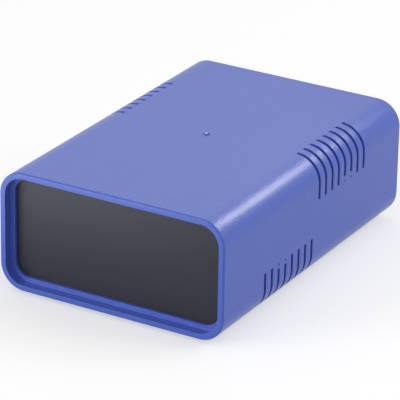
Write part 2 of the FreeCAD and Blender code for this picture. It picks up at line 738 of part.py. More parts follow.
def main():
    os.makedirs(PARTS, exist_ok=True)
    save("upper_shell", upper_shell())
    save("lower_shell", lower_shell())
    save("case_screws", case_screws())
    save("rubber_feet", rubber_feet())
    save("front_panel", panel(-PANEL_OUT))
    save("rear_panel", rear_panel())

    pin_places = []
    for name, x in JACK_XS.items():
        pieces, places = jack(x)
        pin_places += places
        for part, shape in pieces.items():
            save(name + "_" + part, shape)

    switch_terminals = []
    for name, x in SWITCH_XS.items():
        pieces, places = push_switch(x)
        switch_terminals += places
        for part, shape in pieces.items():
            save(name + "_" + part, shape)
    pin_places += switch_terminals
    height = BOARD_TOP - PIN_END
    save("switch_terminals", [rod(r, vec(x, y, PIN_END), height, Z_AXIS) for x, y, r in switch_terminals])

    pins, places = xlr_pins()
    pin_places += places
    save("xlr_housing", xlr_housing())
    save("xlr_insert", xlr_insert())
    save("xlr_pins", pins)
    save("xlr_screws", xlr_screws())
    save("xlr_nuts", xlr_nuts())

    pieces, places = transformer()
    pin_places += places
    for part, shape in pieces.items():
        save("transformer_" + part, shape)

    bodies, leads, places = resistors()
    pin_places += places
    save("resistor_bodies", bodies)
    save("resistor_leads", leads)

    body, leads, places = capacitor()
    pin_places += places
    save("lift_capacitor", body)
    save("lift_capacitor_leads", leads)

    save("circuit_board", circuit_board(pin_places))
    save("board_screws", board_screws())


main()
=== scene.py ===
import json
import math

import bmesh
import bpy
from bpy.props import FloatProperty, FloatVectorProperty, IntProperty, PointerProperty
from mathutils import Matrix, Vector

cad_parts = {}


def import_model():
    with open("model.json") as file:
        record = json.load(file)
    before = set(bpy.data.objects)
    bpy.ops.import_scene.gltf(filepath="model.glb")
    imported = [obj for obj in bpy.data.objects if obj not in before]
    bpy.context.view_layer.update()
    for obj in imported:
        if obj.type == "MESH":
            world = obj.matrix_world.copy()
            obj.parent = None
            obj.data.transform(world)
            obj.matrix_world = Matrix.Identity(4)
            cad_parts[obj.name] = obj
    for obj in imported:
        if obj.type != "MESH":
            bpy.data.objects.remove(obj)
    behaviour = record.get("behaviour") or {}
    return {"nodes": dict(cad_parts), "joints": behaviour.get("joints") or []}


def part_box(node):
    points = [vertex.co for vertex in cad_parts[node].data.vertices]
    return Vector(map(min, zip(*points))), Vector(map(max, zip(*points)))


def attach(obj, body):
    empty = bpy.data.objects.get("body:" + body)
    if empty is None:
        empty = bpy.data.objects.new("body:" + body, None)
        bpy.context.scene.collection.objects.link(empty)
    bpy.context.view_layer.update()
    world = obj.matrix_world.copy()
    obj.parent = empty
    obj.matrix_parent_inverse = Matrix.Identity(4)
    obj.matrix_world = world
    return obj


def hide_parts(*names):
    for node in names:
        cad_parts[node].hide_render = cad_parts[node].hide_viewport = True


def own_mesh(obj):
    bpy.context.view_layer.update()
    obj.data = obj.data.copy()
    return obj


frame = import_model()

bl_info = {
    "name": "Direct injection box",
    "version": (1, 0, 0),
    "blender": (4, 5, 0),
    "location": "View3D > Sidebar > DI box",
    "description": "Dresses a direct injection box in a moulded instrument case",
    "category": "Add Mesh",
}

# Metres, in the frame's own axes: X across the case, -Y is the front, +Z is up, and the feet
# stand at Z = 0. Heights inside the functions are taken from the parting plane of the case.

MM = 0.001
X_AXIS = Vector((1, 0, 0))
Y_AXIS = Vector((0, 1, 0))
Z_AXIS = Vector((0, 0, 1))
TINY = 1e-6
CREASE = 35

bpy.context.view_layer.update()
CASE_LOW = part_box("lower_shell")[0]
CASE_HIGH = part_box("upper_shell")[1]
MID_Z = (CASE_LOW.z + CASE_HIGH.z) / 2


def linear(code):
    """The linear colour of an sRGB hex value."""
    parts = [int(code[i : i + 2], 16) / 255 for i in (0, 2, 4)]
    return [c / 12.92 if c <= 0.04045 else ((c + 0.055) / 1.055) ** 2.4 for c in parts] + [1.0]


def length(name, value, description):
    """A length that a user may change, given in millimetres."""
    return FloatProperty(name=name, default=value * MM, description=description, unit="LENGTH")


def colour(name, code, description):
    """A colour that a user may change, given as an sRGB hex value."""
    return FloatVectorProperty(
        name=name, default=linear(code), size=4, min=0, max=1, description=description, subtype="COLOR"
    )


class CaseSizes(bpy.types.PropertyGroup):
    """The two half shells."""

    corner: length("Corner", 10, "Radius of the long edges outside")
    end_edge: length("End edge", 0.8, "Rounding of the outer edge at both ends")
    wall: length("Wall", 2.2, "Thickness of the wall")
    lip: length("Lip", 2.4, "Thickness of the wall at the ends")
    lip_depth: length("Lip depth", 3.9, "From the end to the retaining frame")
    frame_inset: length("Frame inset", 4.1, "From the outside to the frame's inner edge")
    frame_t: length("Frame thickness", 1.5, "Thickness of the retaining frame")
    groove: length("Groove", 2.3, "Width of the groove that holds a panel")
    rib_inset: length("Rib inset", 3.6, "From the outside to the rib's inner edge")
    rib_t: length("Rib thickness", 1.2, "Thickness of the rib behind a panel")
    edge: length("Edge", 0.15, "Rounding of the small moulded edges")
    seam: length("Seam", 0.04, "Bevel of the parting edges")
    corner_steps: IntProperty(name="Corner steps", default=18, description="Faces round a corner")


class VentSizes(bpy.types.PropertyGroup):
    """The slots round the corners, and the gate mark."""

    count: IntProperty(name="Slots", default=8, description="Slots in each group")
    first: length("First slot", 30.6, "From the end of the case to the first slot")
    pitch: length("Pitch", 5.06, "From one slot to the next")
    width: length("Width", 1.4, "Width of a slot")
    edge: length("Edge", 0.2, "Rounding of a slot's outer edge")
    end: length("End", 7.25, "Height of a slot's end above the parting plane")
    short_end: length("Short end", 9.3, "Height of the short slots' ends")
    pinhole: length("Pinhole", 0.4, "Radius of the pinholes under the short slots")
    pinhole_z: length("Pinhole height", 7.5, "Height of the pinholes above the parting plane")
    gate: length("Gate mark", 1.5, "Radius of the dimple round the gate")
    gate_depth: length("Gate depth", 0.4, "Depth of the dimple")
    nub: length("Nub", 0.55, "Radius of the gate's cut-off stub")
    nub_rise: length("Nub rise", 0.7, "Height of the stub above the case")


class Finishes(bpy.types.PropertyGroup):
    """Colours of the finishes that a user would change."""

    case: colour("Case", "4C64C1", "Moulded case")
    panel: colour("Panels", "232331", "Front and rear panel")
    button: colour("Buttons", "1B1B1E", "Push buttons")
    board: colour("Board", "1E5A35", "Solder mask of the circuit board")


SHORT_SLOTS = (2, 3)


# Mesh helpers


def outline(bm, points, closed=True):
    """Edges through a few points."""
    verts = [bm.verts.new(p) for p in points]
    pairs = list(zip(verts, verts[1:])) + ([(verts[-1], verts[0])] if closed else [])
    return verts, [bm.edges.new(pair) for pair in pairs]


def extruded(bm, edges, by):
    """Draws a row of edges along by, and returns the row at its new place."""
    made = bmesh.ops.extrude_edge_only(bm, edges=edges)["geom"]
    verts = {g for g in made if isinstance(g, bmesh.types.BMVert)}
    bmesh.ops.translate(bm, vec=by, verts=list(verts))
    return [g for g in made if isinstance(g, bmesh.types.BMEdge) and set(g.verts) <= verts]


def swung(bm, edges, centre, steps):
    """Swings a row of edges a quarter turn from +X to +Z round centre."""
    verts = list({v for e in edges for v in e.verts})
    made = bmesh.ops.spin(
        bm, geom=verts + edges, cent=centre, axis=-Y_AXIS, angle=math.pi / 2, steps=steps
    )
    return [g for g in made["geom_last"] if isinstance(g, bmesh.types.BMEdge)]


def turned(profile, centre, axis, steps=48, bm=None):
    """A lathe-turned solid. The profile is (radius, distance along the axis) pairs: it starts
    and ends on the axis, or is a closed section of a ring."""
    bm = bm or bmesh.new()
    out = axis.orthogonal().normalized()
    points = [centre + out * radius + axis * along for radius, along in profile]
    verts, edges = outline(bm, points, closed=profile[0][0] > 0)
    bmesh.ops.spin(
        bm, geom=verts + edges, cent=centre, axis=axis, angle=2 * math.pi, steps=steps, use_merge=True
    )
    bmesh.ops.remove_doubles(bm, verts=bm.verts, dist=TINY)
    bmesh.ops.recalc_face_normals(bm, faces=bm.faces)
    return bm


def arc(centre, radius, start, end, steps=6):
    """Points of a profile along an arc, in degrees from the radius towards the axis."""
    angles = [math.radians(start + (end - start) * i / steps) for i in range(steps + 1)]
    return [(centre[0] + radius * math.cos(a), centre[1] + radius * math.sin(a)) for a in angles]


def coiled(section, centre, axis, pitch, turns, steps=20, bm=None):
    """A closed section of (radius, distance) pairs wound round the axis, with its ends closed."""
    bm = bm or bmesh.new()
    out = axis.orthogonal().normalized()
    verts, edges = outline(bm, [centre + out * radius + axis * along for radius, along in section])
    count = round(steps * turns)
    turn = 2 * math.pi * turns
    rise = axis * (pitch * turns / count)
    bmesh.ops.spin(bm, geom=verts + edges, cent=centre, axis=axis, angle=turn, steps=count, dvec=rise)
    bmesh.ops.holes_fill(bm, edges=[e for e in bm.edges if e.is_boundary], sides=0)
    bmesh.ops.recalc_face_normals(bm, faces=bm.faces)
    return bm


def bar(low, high, axis, radius=0.0, steps=8, bm=None):
    """A bar between two corners, with its four edges along the axis rounded."""
    bm = bm or bmesh.new()
    low, high = Vector(low), Vector(high)
    verts = bmesh.ops.create_cube(bm, size=1.0)["verts"]
    bmesh.ops.scale(bm, vec=high - low, verts=verts)
    bmesh.ops.translate(bm, vec=(low + high) / 2, verts=verts)
    if radius:
        edges = {e for v in verts for e in v.link_edges}
        along = [e for e in edges if abs((e.verts[0].co - e.verts[1].co).normalized().dot(axis)) > 0.5]
        bevelled(bm, along, radius, steps)
    return bm


def hexagon(flats, start, end, centre, bm=None):
    """A hexagonal bar along Y."""
    bm = bm or bmesh.new()
    place = Matrix.Translation(centre + Y_AXIS * start) @ Matrix.Rotation(-math.pi / 2, 4, "X")
    bmesh.ops.create_circle(bm, cap_ends=True, segments=6, radius=flats / math.sqrt(3), matrix=place)
    made = bmesh.ops.extrude_face_region(bm, geom=bm.faces[:], use_keep_orig=True)["geom"]
    verts = [g for g in made if isinstance(g, bmesh.types.BMVert)]
    bmesh.ops.translate(bm, vec=Y_AXIS * (end - start), verts=verts)
    bmesh.ops.recalc_face_normals(bm, faces=bm.faces)
    return bm


def bevelled(bm, edges, width, steps=2, clamp=True):
    bmesh.ops.bevel(
        bm,
        geom=edges,
        offset=width,
        segments=steps,
        profile=0.5,
        affect="EDGES",
        material=-1,
        clamp_overlap=clamp,
    )


def sharp_edges(bm, limit=40):
    angle = math.radians(limit)
    return [e for e in bm.edges if e.is_manifold and e.calc_face_angle() > angle]


def placed(name, data):
    """A new object in the scene."""
    obj = bpy.data.objects.new(name, data)
    bpy.context.scene.collection.objects.link(obj)
    return obj


def as_mesh(name, bm):
    """A mesh made of a bmesh, which is freed."""
    mesh = bpy.data.meshes.new(name)
    bm.to_mesh(mesh)
    bm.free()
    return mesh


def joined(bm, other):
    """Puts another solid that stands clear of the first into the same bmesh."""
    mesh = as_mesh("blank", other)
    bm.from_mesh(mesh)
    bpy.data.meshes.remove(mesh)
    return bm


def combined(bm, tool, operation):
    """A solid joined with, cut by or held in common with another one."""
    work, cutter = [placed("blank", as_mesh("blank", part)) for part in (bm, tool)]
    modifier = work.modifiers.new("boolean", "BOOLEAN")
    modifier.operation = operation
    modifier.solver = "EXACT"
    modifier.object = cutter
    result = bmesh.new()
    result.from_object(work, bpy.context.evaluated_depsgraph_get())
    for obj in (work, cutter):
        bpy.data.meshes.remove(obj.data)
    return result


def piece(name, bm, finishes, nodes=(), body="case", weighted=True):
    """Makes an object of a bmesh, rides it on its body and lets it stand for CAD nodes."""
    mesh = as_mesh(name, bm)
    for finish in finishes if isinstance(finishes, list) else [finishes]:
        mesh.materials.append(finish)
    mesh.shade_smooth()
    mesh.set_sharp_from_angle(angle=math.radians(CREASE))
    obj = placed(name, mesh)
    if weighted:
        obj.modifiers.new("weighted_normals", "WEIGHTED_NORMAL").keep_sharp = True
    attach(obj, body)
    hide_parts(*nodes)
    return obj


def centre_of(name):
    """The middle of a CAD node's box."""
    low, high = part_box(name)
    return (low + high) / 2


def islands(name):
    """The boxes of a CAD node's separate solids, as (low, high) corners in order of place."""
    bm = bmesh.new()
    bm.from_mesh(frame["nodes"][name].data)
    bmesh.ops.remove_doubles(bm, verts=bm.verts, dist=TINY)
    left = set(bm.verts)
    boxes = []
    while left:
        found = [left.pop()]
        for vert in found:
            for edge in vert.link_edges:
                other = edge.other_vert(vert)
                if other in left:
                    left.remove(other)
                    found.append(other)
        spans = [(min(v.co[i] for v in found), max(v.co[i] for v in found)) for i in range(3)]
        boxes.append((Vector([s[0] for s in spans]), Vector([s[1] for s in spans])))
    bm.free()
    return sorted(boxes, key=lambda box: tuple(round(c, 5) for c in box[0]))


# Materials

# The sockets of a Mix node that take and give colours, whose names others share
MIX_LOW, MIX_HIGH, MIX_RESULT = 6, 7, 2
GRAIN_DETAIL, PATCH_DETAIL = 2.0, 3.0
# A pale blue mixed into the case colour on the gate's stub, and its share: a painted highlight on the stub
STUB_HIGHLIGHT_WHITE = (0.62, 0.68, 1.0, 1.0)
STUB_HIGHLIGHT_SHARE = 0.75
COPPER_TINT = (0.03, 0.09, 0.015, 0)


def new_material(name):
    """A material with its node tree and its surface shader."""
    material = bpy.data.materials.new(name)
    material.use_nodes = True
    tree = material.node_tree
    return material, tree, tree.nodes["Principled BSDF"]


def add_node(tree, kind, inputs, **settings):
    """Adds a node with its settings. An input is a value or the socket that feeds it."""
    node = tree.nodes.new(kind)
    for name, value in settings.items():
        setattr(node, name, value)
    for name, value in inputs.items():
        if isinstance(value, bpy.types.NodeSocket):
            tree.links.new(value, node.inputs[name])
        else:
            node.inputs[name].default_value = value
    return node


def rgba(shade):
    """The linear colour of an sRGB hex value, or a linear colour as a list."""
    return linear(shade) if isinstance(shade, str) else list(shade)


def scaled(shade, factor):
    """A colour made darker or lighter."""
    return [c * factor for c in rgba(shade)[:3]] + [1.0]


def varied(size, shade, share):
    """Patches of a colour that run from a little darker to a little lighter."""
    return size, scaled(shade, 1 - share), scaled(shade, 1 + share)


def set_shader(shader, base, roughness, metallic=0.0, ior=1.5, specular=0.5, coat=0.0):
    """Sets what is the same all over the surface."""
    shader.inputs["Base Color"].default_value = rgba(base)
    shader.inputs["Roughness"].default_value = roughness
    shader.inputs["Metallic"].default_value = metallic
    shader.inputs["IOR"].default_value = ior
    shader.inputs["Specular IOR Level"].default_value = specular
    shader.inputs["Coat Weight"].default_value = coat


def raised(tree, shader, height, depth):
    """Bumps the surface by a pattern that runs from 0 to 1."""
    bump = add_node(tree, "ShaderNodeBump", {"Height": height, "Distance": depth, "Strength": 1.0})
    tree.links.new(bump.outputs["Normal"], shader.inputs["Normal"])


def mixed(tree, shader, factor, low, high):
    """Mixes the surface's colour from two by a pattern that runs from 0 to 1."""
    inputs = {"Factor": factor, MIX_LOW: rgba(low), MIX_HIGH: rgba(high)}
    mix = add_node(tree, "ShaderNodeMix", inputs, data_type="RGBA")
    tree.links.new(mix.outputs[MIX_RESULT], shader.inputs["Base Color"])


def on_object(tree):
    """The place on the object, in metres."""
    return add_node(tree, "ShaderNodeTexCoord", {}).outputs["Object"]


def noisy(tree, place, size, detail):
    """Noise whose features are about the given size."""
    inputs = {"Vector": place, "Scale": 1 / size, "Detail": detail}
    return add_node(tree, "ShaderNodeTexNoise", inputs).outputs["Fac"]


def waved(tree, place, pitch, distortion, direction):
    """Soft bands across a direction, a pitch apart."""
    inputs = {"Vector": place, "Scale": math.pi / (10 * pitch), "Distortion": distortion}
    return add_node(tree, "ShaderNodeTexWave", inputs, bands_direction=direction).outputs["Fac"]


def finished(name, base, roughness, grain, depth, patches=(), stretch=(1, 1, 1), **shine):
    """A finish with a grain of the given size and depth. A patch is a size with two colours to
    run between, or with two numbers and the name of their socket."""
    material, tree, shader = new_material(name)
    set_shader(shader, base, roughness, **shine)
    place = on_object(tree)
    pulled = add_node(tree, "ShaderNodeMapping", {"Vector": place, "Scale": stretch}).outputs["Vector"]
    raised(tree, shader, noisy(tree, pulled, grain, GRAIN_DETAIL), depth)
    for size, low, high, *socket in patches:
        pattern = noisy(tree, place, size, PATCH_DETAIL)
        if socket:
            inputs = {"Value": pattern, "To Min": low, "To Max": high}
            spread = add_node(tree, "ShaderNodeMapRange", inputs).outputs["Result"]
            tree.links.new(spread, shader.inputs[socket[0]])
        else:
            mixed(tree, shader, pattern, low, high)
    return material


def spark_eroded_abs(finishes):
    """Pigmented ABS, injection-moulded in a spark-eroded tool: an even satin blue whose fine
    pitted grain breaks up the highlights. The real grain is about 0.15 mm; it is drawn coarser
    so that it shows from arm's length."""
    patches = [varied(30 * MM, finishes.case, 0.03)]
    shine = {"ior": 1.54, "specular": 0.27}
    return finished("abs_spark_eroded_blue", finishes.case, 0.29, 0.65 * MM, 0.14 * MM, patches, **shine)


def stub_painted_highlight(finishes):
    """The same ABS on the cut-off stub of the gate, rougher, and mixed towards pale blue as a painted
    highlight on the stub.
    """
    pale = [(1 - STUB_HIGHLIGHT_SHARE) * c + STUB_HIGHLIGHT_SHARE * w for c, w in zip(finishes.case, STUB_HIGHLIGHT_WHITE)]
    return finished("abs_stub_painted_highlight", pale, 0.5, 0.15 * MM, 0.02 * MM, ior=1.54)


def satin_sheet(finishes):
    """Dark grey polystyrene sheet with a satin rolled face: nearly smooth, with a faint tooth
    that blurs what it mirrors."""
    patches = [varied(25 * MM, finishes.panel, 0.04)]
    shine = {"ior": 1.55, "specular": 0.24}
    return finished("polystyrene_satin_grey", finishes.panel, 0.38, 0.3 * MM, 0.004 * MM, patches, **shine)


def moulded_rubber():
    """Compression-moulded rubber: near black and dull, with a slightly rough skin."""
    return finished("rubber_moulded_black", "19191A", 0.78, 0.5 * MM, 0.03 * MM, ior=1.52)


def zinc_plated_steel():
    """Bright zinc-plated steel: pale metal with a faint cool and warm cast from the passivate."""
    patches = [(1.5 * MM, "BFC3CC", "CCC8BC")]
    return finished("steel_zinc_plated", "C3C5C8", 0.3, 0.4 * MM, 0.006 * MM, patches, metallic=1.0)


def nickel_plated_casting():
    """Zinc die casting with satin nickel plating: warm silver with a soft orange-peel face."""
    patches = [(6 * MM, 0.24, 0.38, "Roughness"), (2.5 * MM, "A5A29C", "BBB8B2")]
    return finished("casting_nickel_plated", "B0ADA7", 0.3, 0.8 * MM, 0.016 * MM, patches, metallic=1.0)


def nickel_plated_brass():
    """Turned brass with bright nickel plating: fine turning lines round a smooth silver face."""
    shine = {"stretch": (1, 4, 1), "metallic": 1.0}
    return finished("brass_nickel_plated", "C6C2BA", 0.2, 0.25 * MM, 0.003 * MM, **shine)


def glass_filled_nylon():
    """Glass-filled nylon: black and dull, with short fibres just under the skin."""
    patches = [(4 * MM, "19191C", "212125")]
    shine = {"stretch": (1, 3, 1), "ior": 1.53}
    return finished("nylon_glass_filled_black", "1C1C1F", 0.55, 0.3 * MM, 0.012 * MM, patches, **shine)


def silvered_contact():
    """Silver-plated brass contacts: a bright warm white metal, lightly dulled in patches."""
    patches = [(2 * MM, 0.18, 0.34, "Roughness")]
    return finished("brass_silver_plated", "D9D5CB", 0.24, 0.3 * MM, 0.002 * MM, patches, metallic=1.0)


def moulded_button(finishes):
    """Injection-moulded ABS button cap: black with a soft sheen from its polished tool."""
    return finished("abs_polished_black", finishes.button, 0.34, 0.35 * MM, 0.004 * MM, ior=1.54)


def spring_wire():
    """Hard-drawn spring wire: grey steel with a very fine, faint grain from the die."""
    return finished("steel_spring_wire", "96989C", 0.3, 0.12 * MM, 0.004 * MM, metallic=1.0)


def masked_copper(finishes):
    """Copper under the solder mask: a lighter, yellower green than the bare laminate."""
    green = [c + tint for c, tint in zip(finishes.board, COPPER_TINT)]
    shine = {"ior": 1.52, "coat": 0.3}
    patches = [varied(5 * MM, green, 0.1)]
    return finished("copper_solder_mask_green", green, 0.28, 0.3 * MM, 0.002 * MM, patches, **shine)


def drawn_can():
    """Deep-drawn nickel-iron screening can: soft grey metal with draw lines up its sides."""
    patches = [(7 * MM, 0.3, 0.45, "Roughness")]
    shine = {"stretch": (1, 1, 0.08), "metallic": 1.0}
    return finished("nickel_iron_drawn", "A5A49F", 0.36, 0.6 * MM, 0.006 * MM, patches, **shine)


def moulded_nylon():
    """Unfilled nylon of the bobbin and base: charcoal with a waxy sheen."""
    return finished("nylon_charcoal", "2B2B2D", 0.42, 0.8 * MM, 0.006 * MM, ior=1.53)


def lacquer(name, code, roughness=0.28):
    """Dipped lacquer of a small component: glossy, pooled a little unevenly."""
    return finished(name, code, roughness, 1.2 * MM, 0.02 * MM, coat=0.4)


def soft_solder():
    """Reflowed tin solder: bright grey metal that froze with a slight dimpled skin."""
    return finished("solder_tin", "BDBDC0", 0.3, 0.3 * MM, 0.01 * MM, metallic=1.0)


def masked_laminate(finishes):
    """Glass-epoxy laminate under green solder mask: the cloth's weave shows through a glossy
    skin, drawn with about 1 mm between threads."""
    material, tree, shader = new_material("laminate_solder_mask_green")
    set_shader(shader, finishes.board, 0.3, ior=1.52, coat=0.3)
    place = on_object(tree)
    waves = [waved(tree, place, MM, 0.6, direction) for direction in ("X", "Y")]
    weave = add_node(tree, "ShaderNodeMath", dict(enumerate(waves)), operation="MULTIPLY").outputs[0]
    raised(tree, shader, weave, 0.01 * MM)
    mixed(tree, shader, weave, *varied(MM, finishes.board, 0.15)[1:])
    return material


def banded(name, base, roughness, metallic, axis, pitch, depth, dark, light):
    """A finish with even lines across an axis: the leaves of a core or the turns of a winding."""
    material, tree, shader = new_material(name)
    set_shader(shader, base, roughness, metallic=metallic)
    lines = waved(tree, on_object(tree), pitch, 0.15, axis)
    raised(tree, shader, lines, depth)
    mixed(tree, shader, lines, dark, light)
    return material


def core_laminations():
    """Stamped nickel-iron leaves, 0.35 mm thick, stacked along Y: dark joints between them."""
    return banded("nickel_iron_leaves", "77746E", 0.42, 1.0, "Y", 0.35 * MM, 0.03 * MM, "4A4845", "8A8780")


def enamelled_copper():
    """Enamelled copper wire wound in layers, 0.25 mm a turn: an amber lacquer over the metal."""
    return banded("copper_enamelled", "B5722E", 0.3, 0.8, "Z", 0.25 * MM, 0.06 * MM, "7A3F14", "C98A45")


# Case


def slot_places(case_depth, vents):
    """Distances of the slots from the middle of the case, for the group at the rear."""
    return [case_depth / 2 - vents.first - i * vents.pitch for i in range(vents.count)]


def wall_section(sizes, vents, depth):
    """Points (distance along the case, inset from the outside) round the wall's section, with a
    row at each side of every slot."""
    half = depth / 2
    rows = sorted(y + side * vents.width / 2 for y in slot_places(depth, vents) for side in (-1, 1))
    steps = [(0.0, sizes.lip), (sizes.lip_depth, sizes.frame_inset), (sizes.frame_t, sizes.wall)]
    steps += [(sizes.groove, sizes.rib_inset), (sizes.rib_t, sizes.wall)]
    inside = []
    along, inset = half, 0.0
    for run, next_inset in steps:
        along -= run
        inside += [(along, inset)] if inset else []
        inside.append((along, next_inset))
        inset = next_inset
    skin = [(-half, 0.0)] + [(y, 0.0) for y in rows] + [(half, 0.0)]
    back = [(y, sizes.wall) for y in reversed(rows)]
    return skin + inside + back + [(-y, i) for y, i in reversed(inside)]


class HalfShell:
    """Builds the moulding that both halves share, about the middle of the case."""

    def __init__(self, sizes, vents):
        self.sizes, self.vents = sizes, vents
        self.width, self.depth, self.height = CASE_HIGH - CASE_LOW
        self.height -= 2 * vents.nub_rise
        self.flat_w = self.width / 2 - sizes.corner
        self.flat_h = self.height / 2 - sizes.corner

    def below_skin(self, co):
        """Depth of a point below the outside of the case."""
        out, up = abs(co.x) - self.flat_w, abs(co.z) - self.flat_h
        if out > 0 and up > 0:
            return self.sizes.corner - math.hypot(out, up)
        return self.sizes.corner - max(out, up)

    def on_skin(self, edge):
        return all(self.below_skin(v.co) < self.sizes.wall / 4 for v in edge.verts)

    def wall(self):
        """The wall as one closed skin: its section swept up one side, over the top and down."""
        bm = bmesh.new()
        section = wall_section(self.sizes, self.vents, self.depth)
        half_w = self.width / 2
        row = outline(bm, [Vector((half_w - inset, along, 0)) for along, inset in section])[1]
        heights = [0.0, self.vents.end, self.vents.short_end, self.flat_h]
        rises = [b - a for a, b in zip(heights, heights[1:])]
        for rise in rises:
            row = extruded(bm, row, Z_AXIS * rise)
        row = swung(bm, row, Vector((self.flat_w, 0, self.flat_h)), self.sizes.corner_steps)
        row = extruded(bm, row, -X_AXIS * 2 * self.flat_w)
        row = swung(bm, row, Vector((-self.flat_w, 0, self.flat_h)), self.sizes.corner_steps)
        for rise in reversed(rises):
            row = extruded(bm, row, -Z_AXIS * rise)
        moulded = sharp_edges(bm, 60)
        ends = [e for e in moulded if self.on_skin(e)]
        ends_set = set(ends)
        bevelled(bm, [e for e in moulded if e not in ends_set], self.sizes.edge)
        ends = [e for e in sharp_edges(bm, 60) if self.on_skin(e)]
        bevelled(bm, ends, self.sizes.end_edge, 6)
        bmesh.ops.holes_fill(bm, edges=[e for e in bm.edges if e.is_boundary], sides=0)
        bmesh.ops.recalc_face_normals(bm, faces=bm.faces)
        seam = [e for e in sharp_edges(bm, 60) if all(abs(v.co.z) < TINY for v in e.verts)]
        bevelled(bm, seam, self.sizes.seam, 1, clamp=False)
        return bm

    def vented(self, bm):
        """Opens the slots round both rear corners and rounds their outer edges."""
        for i, along in enumerate(slot_places(self.depth, self.vents)):
            end = self.vents.short_end if i in SHORT_SLOTS else self.vents.end
            for side in (-1, 1):
                self.open_slot(bm, along, side, end)
        return bm

    def open_slot(self, bm, along, side, end):
        cells = []
        for face in bm.faces:
            c = face.calc_center_median()
            beyond = c.x * side > self.flat_w
            if beyond and c.z > end and abs(c.y - along) < self.vents.width / 2:
                cells.append(face)
        bmesh.ops.delete(bm, geom=cells, context="FACES")
        rim = [e for e in bm.edges if e.is_boundary]
        bmesh.ops.bridge_loops(bm, edges=rim)
        bevelled(bm, [e for e in rim if e.is_valid and self.on_skin(e)], self.vents.edge)

    def pockets(self):
        """Tools for the dimple round the gate and for the pinholes under the short slots."""
        vents, depth = self.vents, self.vents.gate_depth
        rim = vents.gate - 0.3 * MM
        profile = [(0, -depth), (rim, -depth), (rim + 0.2 * MM, -0.7 * depth), (vents.gate, -0.1 * depth)]
        profile += [(vents.gate + 0.1 * MM, 0.3 * depth), (vents.gate, 4 * depth), (0, 4 * depth)]
        bm = turned(profile, Z_AXIS * self.height / 2, Z_AXIS, 48)
        reach = self.sizes.wall
        hole = [(0, -reach), (vents.pinhole, -reach), (vents.pinhole, reach), (0, reach)]
        for i, along in enumerate(slot_places(self.depth, vents)):
            if i in SHORT_SLOTS:
                for side in (-1, 1):
                    x = side * (self.width / 2 - reach / 2)
                    turned(hole, Vector((x, along, vents.pinhole_z)), X_AXIS, 16, bm)
        return bm

    def stub(self):
        """What is left of the gate after it is cut off: a short peg with a domed end."""
        r, foot, rise = self.vents.nub, -self.vents.gate_depth, self.vents.nub_rise
        dome = arc((0.25 * r, rise - 0.75 * r), 0.75 * r, 0, 90, 6)
        profile = [(0, foot - ROOT), (1.3 * r, foot - ROOT), (1.3 * r, foot), (1.05 * r, foot / 2)]
        return turned(profile + dome + [(0, rise)], Z_AXIS * self.height / 2, Z_AXIS, 32)

    def half(self):
        bm = self.vented(self.wall())
        return combined(combined(bm, self.pockets(), "DIFFERENCE"), self.stub(), "UNION")

    def with_stub_highlight_finish(self, bm):
        """Gives the stub's faces their own finish, the pale one that paints a highlight on the stub."""
        for face in bm.faces:
            c = face.calc_center_median()
            if math.hypot(c.x, c.y) < self.vents.nub and abs(c.z) > self.height / 2:
                face.material_index = 1
        return bm


def post_places():
    """The four posts stand where the case screws are."""
    return [((low + high) / 2).to_2d() for low, high in islands("case_screws")]


def pillar_places():
    """The four board pillars stand where the board screws are."""
    return [((low + high) / 2).to_2d() for low, high in islands("board_screws")]


def columns(places, profile, bm=None, steps=40):
    """The same turned solid at several places on the parting plane."""
    bm = bm or bmesh.new()
    for place in places:
        turned(profile, Vector((place.x, place.y, 0)), Z_AXIS, steps, bm)
    return bm


POST_R = 4.6 * MM
PILLAR_R = 3.0 * MM
PILOT_R = 1.52 * MM
PILOT_DEPTH = 9.5 * MM
LEDGE_Z = -8.0 * MM
WELL_R = 3.3 * MM
CLEARANCE_R = 1.7 * MM
BOARD_PILOT_R = 1.22 * MM
FOOT_SEAT_R = 5.1 * MM
FOOT_SEAT = 0.5 * MM
TONGUE = (0.8 * MM, 1.0 * MM)
TONGUE_RUN = (4.0 * MM, 55.0 * MM)
TONGUE_GAP = 0.1 * MM
TONGUE_SHIFT = 0.25 * MM
ROOT = 0.5 * MM
MOUTH = 0.25 * MM
TURN_OVER = Matrix.Rotation(math.pi, 3, "X")


def tongues(shell, gap, root, bm=None):
    """The strips on the parting faces, towards the front, grown by a gap."""
    bm = bm or bmesh.new()
    mid = shell.width / 2 - shell.sizes.wall / 2 - TONGUE_SHIFT
    half = TONGUE[0] / 2 + gap
    for side in (-1, 1):
        x0, x1 = sorted((side * (mid - half), side * (mid + half)))
        low = (x0, -TONGUE_RUN[1] - gap, -TONGUE[1] - gap)
        bar(low, (x1, -TONGUE_RUN[0] + gap, root), Z_AXIS, 0.2 * MM, 3, bm)
    return bm


def upper_half(shell, bm):
    """The upper shell, made from the half that both share: posts with pilot holes and tongues."""
    roof = shell.height / 2 - shell.sizes.wall
    solids = columns(post_places(), [(0, 0), (POST_R, 0), (POST_R, roof + ROOT), (0, roof + ROOT)])
    bm = combined(bm, tongues(shell, 0, ROOT, solids), "UNION")
    pilot = [(0, -ROOT), (PILOT_R + MOUTH, -ROOT), (PILOT_R + MOUTH, 0), (PILOT_R, MOUTH)]
    tools = columns(post_places(), pilot + [(PILOT_R, PILOT_DEPTH), (0, PILOT_DEPTH)])
    grooves = tongues(shell, TONGUE_GAP, ROOT)
    bmesh.ops.rotate(grooves, cent=(0, 0, 0), matrix=TURN_OVER, verts=grooves.verts)
    return combined(bm, joined(tools, grooves), "DIFFERENCE")


